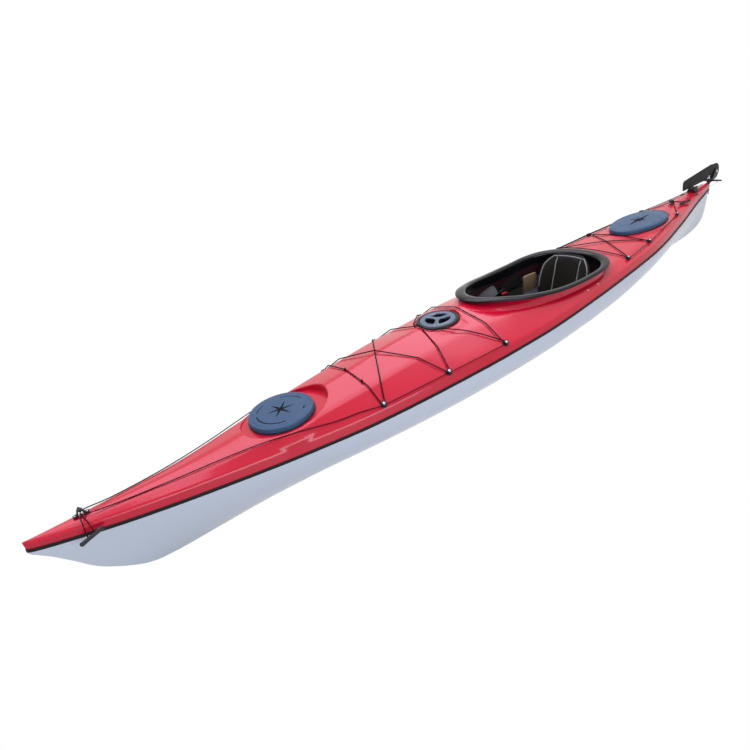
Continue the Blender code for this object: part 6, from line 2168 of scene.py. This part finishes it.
    def side_panel(self, side: Side) -> bpy.types.Object:
        """Tan foam sleeve on the ladder strap, between the hip pad and the backrest."""
        rings = []
        for x, low, high, thin in ((.404, .160, .246, .003), (.407, .155, .251, 0), (.440, .152, .252, 0),
                                   (.500, .150, .247, 0), (.510, .153, .244, 0), (.513, .158, .239, .003)):
            inner, outer = .1880 + thin, .1992
            rings.append([(x, side.value * y, z) for y, z in (
                (inner + .003, low), (inner, low + .004), (inner, high - .004), (inner + .003, high),
                (outer, high), (outer, low))])
        return softened("side_panel_" + side.word, build_mesh("panel", *loft(rings)), TAN_PANEL, .0022)

    def tab(self) -> None:
        """Red webbing pull tab with its white bead at the cushion's front edge."""
        rings = []
        for x in (.1135, .1165, .125, .1335, .1365):
            u = (x - .080) / .390
            z = self.cushion_top(u, 0).z
            edge = .0095 if .114 < x < .136 else .0085
            low, high = z - .001, z + .0016
            rings.append([(x, -edge, low), (x, -edge, high), (x, edge, high), (x, edge, low)])
        red = add_piece("pull_tab", build_mesh("tab", *loft(rings), smooth=40), RED_NYLON)
        z = self.cushion_top(.04, 0).z
        ball = []
        for k in range(1, 12):
            wide, high = .0048 * math.sin(math.pi * k / 12), .0042 * math.cos(math.pi * k / 12)
            ball.append([(.0965 + wide * c, wide * s, z + .002 + high) for c, s in around(24)])
        bead = add_piece("bead", build_mesh("bead", *loft(ball), smooth=60), WHITE_ACETAL)
        hand_over(join("pull_tab", [red, bead]), "boat", slot="red_plastic")


@dataclass
class Outfit:
    """Straps, levers, rails, pedals, braces and bulkheads inside the boat."""

    def dress(self) -> None:
        """Build or finish every remaining piece."""
        for side in Side:
            word = side.word
            strap = softened("ladder_strap_" + word, cad("backrest_strap_" + word), BLACK_NYLON, .0005)
            inside = Vector((0, -side.value, 0))
            teeth = Repeated(BLACK_NYLON).lay("teeth", self.tooth(), [
                (Vector((.264 + .006 * k, side.value * .2000, .2195 + .0105 * k / 47)), inside,
                 Vector((1, 0, .035))) for k in range(46)])
            hand_over(join("ladder_strap_" + word, [strap, teeth]), "boat", "backrest_strap_" + word,
                      slot="black_nylon")
            lever = softened("ratchet_" + word, cad("ratchet_lever_" + word), RED_NYLON, .0011)
            hand_over(lever, "lever_" + word, "ratchet_lever_" + word, slot="red_plastic")
            cover = [(.2145, .2030), (.2515, .2030), (.2552, .2345), (.2440, .2392), (.2185, .2372),
                     (.2108, .2300)]
            rings = [[(x, side.value * y, z) for x, z in cover] for y in (.1990, .2028)]
            plate = softened("buckle_" + word, build_mesh("buckle", *loft(rings)), WHITE_ACETAL, .0009)
            hand_over(plate, "boat", slot="black_nylon")
            rail = softened("foot_rail_channel_" + word, cad("foot_rail_" + word), BLACK_ANODISED, .0008)
            hand_over(rail, "boat", "foot_rail_" + word, slot="anodised_aluminium")
            pedal = softened("pedal_plate_" + word, cad("foot_pedal_" + word), BLACK_NYLON, .0016)
            ridges = Repeated(BLACK_NYLON).lay("ridges", self.ridge(), [
                (Vector((-.600 - .0755 * (z - .125), side.value * .187, z)), Vector((1, 0, .0755)),
                 Vector((0, 1, 0))) for z in (.130, .141, .152, .163, .174)])
            hand_over(join("pedal_plate_" + word, [pedal, ridges]), "pedal_" + word, "foot_pedal_" + word,
                      slot="black_nylon")
            brace = softened("thigh_brace_pad_" + word, cad("thigh_brace_" + word), CELL_FOAM, .0022)
            hand_over(brace, "boat", "thigh_brace_" + word, slot="closed_cell_foam")
        for name in ("fore_bulkhead", "aft_bulkhead"):
            panel = softened(name + "_panel", cad(name), ROVING, .0007)
            hand_over(panel, "boat", name, slot="glass_laminate")

    def tooth(self) -> bpy.types.Mesh:
        """One tooth of a ladder strap, steep on one side."""
        rings = [[(front, -y, z), (rear, -y, z), (rear, y, z), (front, y, z)] for front, rear, y, z in (
            (-.0022, .0022, .0088, 0), (-.0006, .0018, .0084, .0013))]
        return build_mesh("tooth", *loft(rings), smooth=20)

    def ridge(self) -> bpy.types.Mesh:
        """One grip ridge of a pedal."""
        rings = [[(-x, -y, z), (x, -y, z), (x, y, z), (-x, y, z)] for x, y, z in (
            (.0260, .0012, -.0006), (.0260, .0012, .0004), (.0254, .0006, .0014))]
        return build_mesh("ridge", *loft(rings), smooth=20)


# Picture

@dataclass
class Studio:
    """Plain pale floor and backdrop, soft lights, and the camera of the photograph's large view."""

    lens_mm: float = 25.78544
    place: Point = (-1.901199, -1.77486, 1.392841)
    axes: tuple[Point, Point, Point] = ((.781582, -.594156, -.190021), (.425267, .284649, .859141),
                                        (-.456374, -.752299, .475152))
    lights: tuple[tuple[Point, float, float, float, Point], ...] = (
        ((.3, .9, 4.4), 7.4, 5.0, 350.0, (.93, .83, 1.0)),
        ((-1.0, -4.6, 1.2), 4.0, 1.6, 115.0, (.90, .93, 1.0)),
        ((-5.0, -1.0, 1.6), 1.8, 1.8, 25.0, (.90, .93, 1.0)))

    def dress(self) -> None:
        """Build the set."""
        self.floor()
        self.world()
        for spot, long, wide, power, tint in self.lights:
            data = bpy.data.lights.new("soft_box", "AREA")
            data.shape, data.size, data.size_y = "RECTANGLE", long, wide
            data.energy, data.color = power, tint
            lamp = bpy.data.objects.new("soft_box", data)
            bpy.context.scene.collection.objects.link(lamp)
            lamp.location = spot
            aim = Vector((spot[0] if spot[2] > 4 else 0, 0, .2)) - Vector(spot)
            lamp.rotation_euler = aim.to_track_quat("-Z", "Y").to_euler()
        data = bpy.data.cameras.new("camera")
        data.lens, data.sensor_width = self.lens_mm, 36.0
        data.clip_start = .05
        camera = bpy.data.objects.new("camera", data)
        bpy.context.scene.collection.objects.link(camera)
        matrix = Matrix(self.axes).transposed().to_4x4()
        matrix.translation = Vector(self.place)
        camera.matrix_world = matrix
        bpy.context.scene.camera = camera
        bpy.context.scene.view_settings.view_transform = "Standard"

    def floor(self) -> None:
        """A floor that curves up into a backdrop."""
        profile = [(-7.0, 0.0), (4.0, 0.0)] + [(4.0 + 2.5 * math.sin(a), 2.5 - 2.5 * math.cos(a)) for a in (
            math.pi / 2 * k / 16 for k in range(1, 17))] + [(6.5, 9.0)]
        verts = [(x, y, z - .001) for x in (-14.0, 14.0) for y, z in profile]
        n = len(profile)
        faces = [(i, i + 1, n + i + 1, n + i) for i in range(n - 1)]
        mesh = bpy.data.meshes.new("floor")
        mesh.from_pydata(verts, [], faces)
        mesh.shade_smooth()
        sweep = bpy.data.objects.new("floor", mesh)
        bpy.context.scene.collection.objects.link(sweep)
        paper = bpy.data.materials.new("white_paper_sweep")
        paper.use_nodes = True
        tree = paper.node_tree
        tree.nodes.clear()
        path = add_node(tree, "ShaderNodeLightPath").outputs
        seen = add_math(tree, "MAXIMUM", path["Is Camera Ray"], path["Is Glossy Ray"])
        seen = add_math(tree, "MAXIMUM", seen, path["Is Transmission Ray"])
        dull = add_node(tree, "ShaderNodeBsdfDiffuse", {"Color": (.36, .37, .40, 1)})
        light = add_node(tree, "ShaderNodeEmission", {"Color": (1, 1, 1, 1), "Strength": 1.0})
        both = add_node(tree, "ShaderNodeMixShader", {0: seen})
        tree.links.new(dull.outputs[0], both.inputs[1])
        tree.links.new(light.outputs[0], both.inputs[2])
        out = add_node(tree, "ShaderNodeOutputMaterial")
        tree.links.new(both.outputs[0], out.inputs["Surface"])
        mesh.materials.append(paper)

    def world(self) -> None:
        """White round the set for the camera and for reflections, softer as a light."""
        made = bpy.data.worlds.new("studio")
        bpy.context.scene.world = made
        made.use_nodes = True
        tree = made.node_tree
        tree.nodes.clear()
        path = add_node(tree, "ShaderNodeLightPath").outputs
        seen = add_math(tree, "MAXIMUM", path["Is Camera Ray"], path["Is Glossy Ray"])
        strength = add_node(tree, "ShaderNodeMapRange", {"Value": seen, "To Min": .28, "To Max": 1.0})
        back = add_node(tree, "ShaderNodeBackground", {"Color": (1, 1, 1, 1),
                                                       "Strength": strength.outputs["Result"]})
        out = add_node(tree, "ShaderNodeOutputWorld")
        tree.links.new(back.outputs[0], out.inputs["Surface"])


def main() -> None:
    """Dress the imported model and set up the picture."""
    logging.basicConfig(level=logging.INFO, format="%(message)s")
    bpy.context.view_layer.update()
    lines = BoatLines()
    cockpit = CockpitOutline(lines)
    Shells(lines, cockpit).dress()
    Coaming(cockpit).dress()
    fore, aft, day = lines.hatches
    RubberHatch("fore", fore, arms=tuple((60 * k, .070, .0085) for k in range(6)),
                arcs=((164, 50), (83, 20), (-11, 33), (273, 9)), spin=44).dress()
    RubberHatch("aft", aft, arms=((0, .124, .014), (90, .070, .013), (180, .124, .014), (270, .070, .013),
                                  (38, .060, .010), (142, .060, .010), (218, .060, .010), (322, .060, .010)),
                arcs=(), spin=0).dress()
    ScrewHatch(day).dress()
    plan = DeckPlan(lines)
    DeckFittings(lines, plan).dress()
    Cords(CordWays(plan)).dress()
    Toggle("bow", (-2.044, -.083, .300), (.95, .25, .10), .085, (-2.045, 0, .35396)).dress()
    Toggle("stern", (1.660, -.068, .3420), (.97, -.20, .02), .090, (1.628, 0, .35173)).dress()
    Rudder().dress()
    Seat().dress()
    Outfit().dress()
    Studio().dress()


if __name__ == "__main__":
    main()
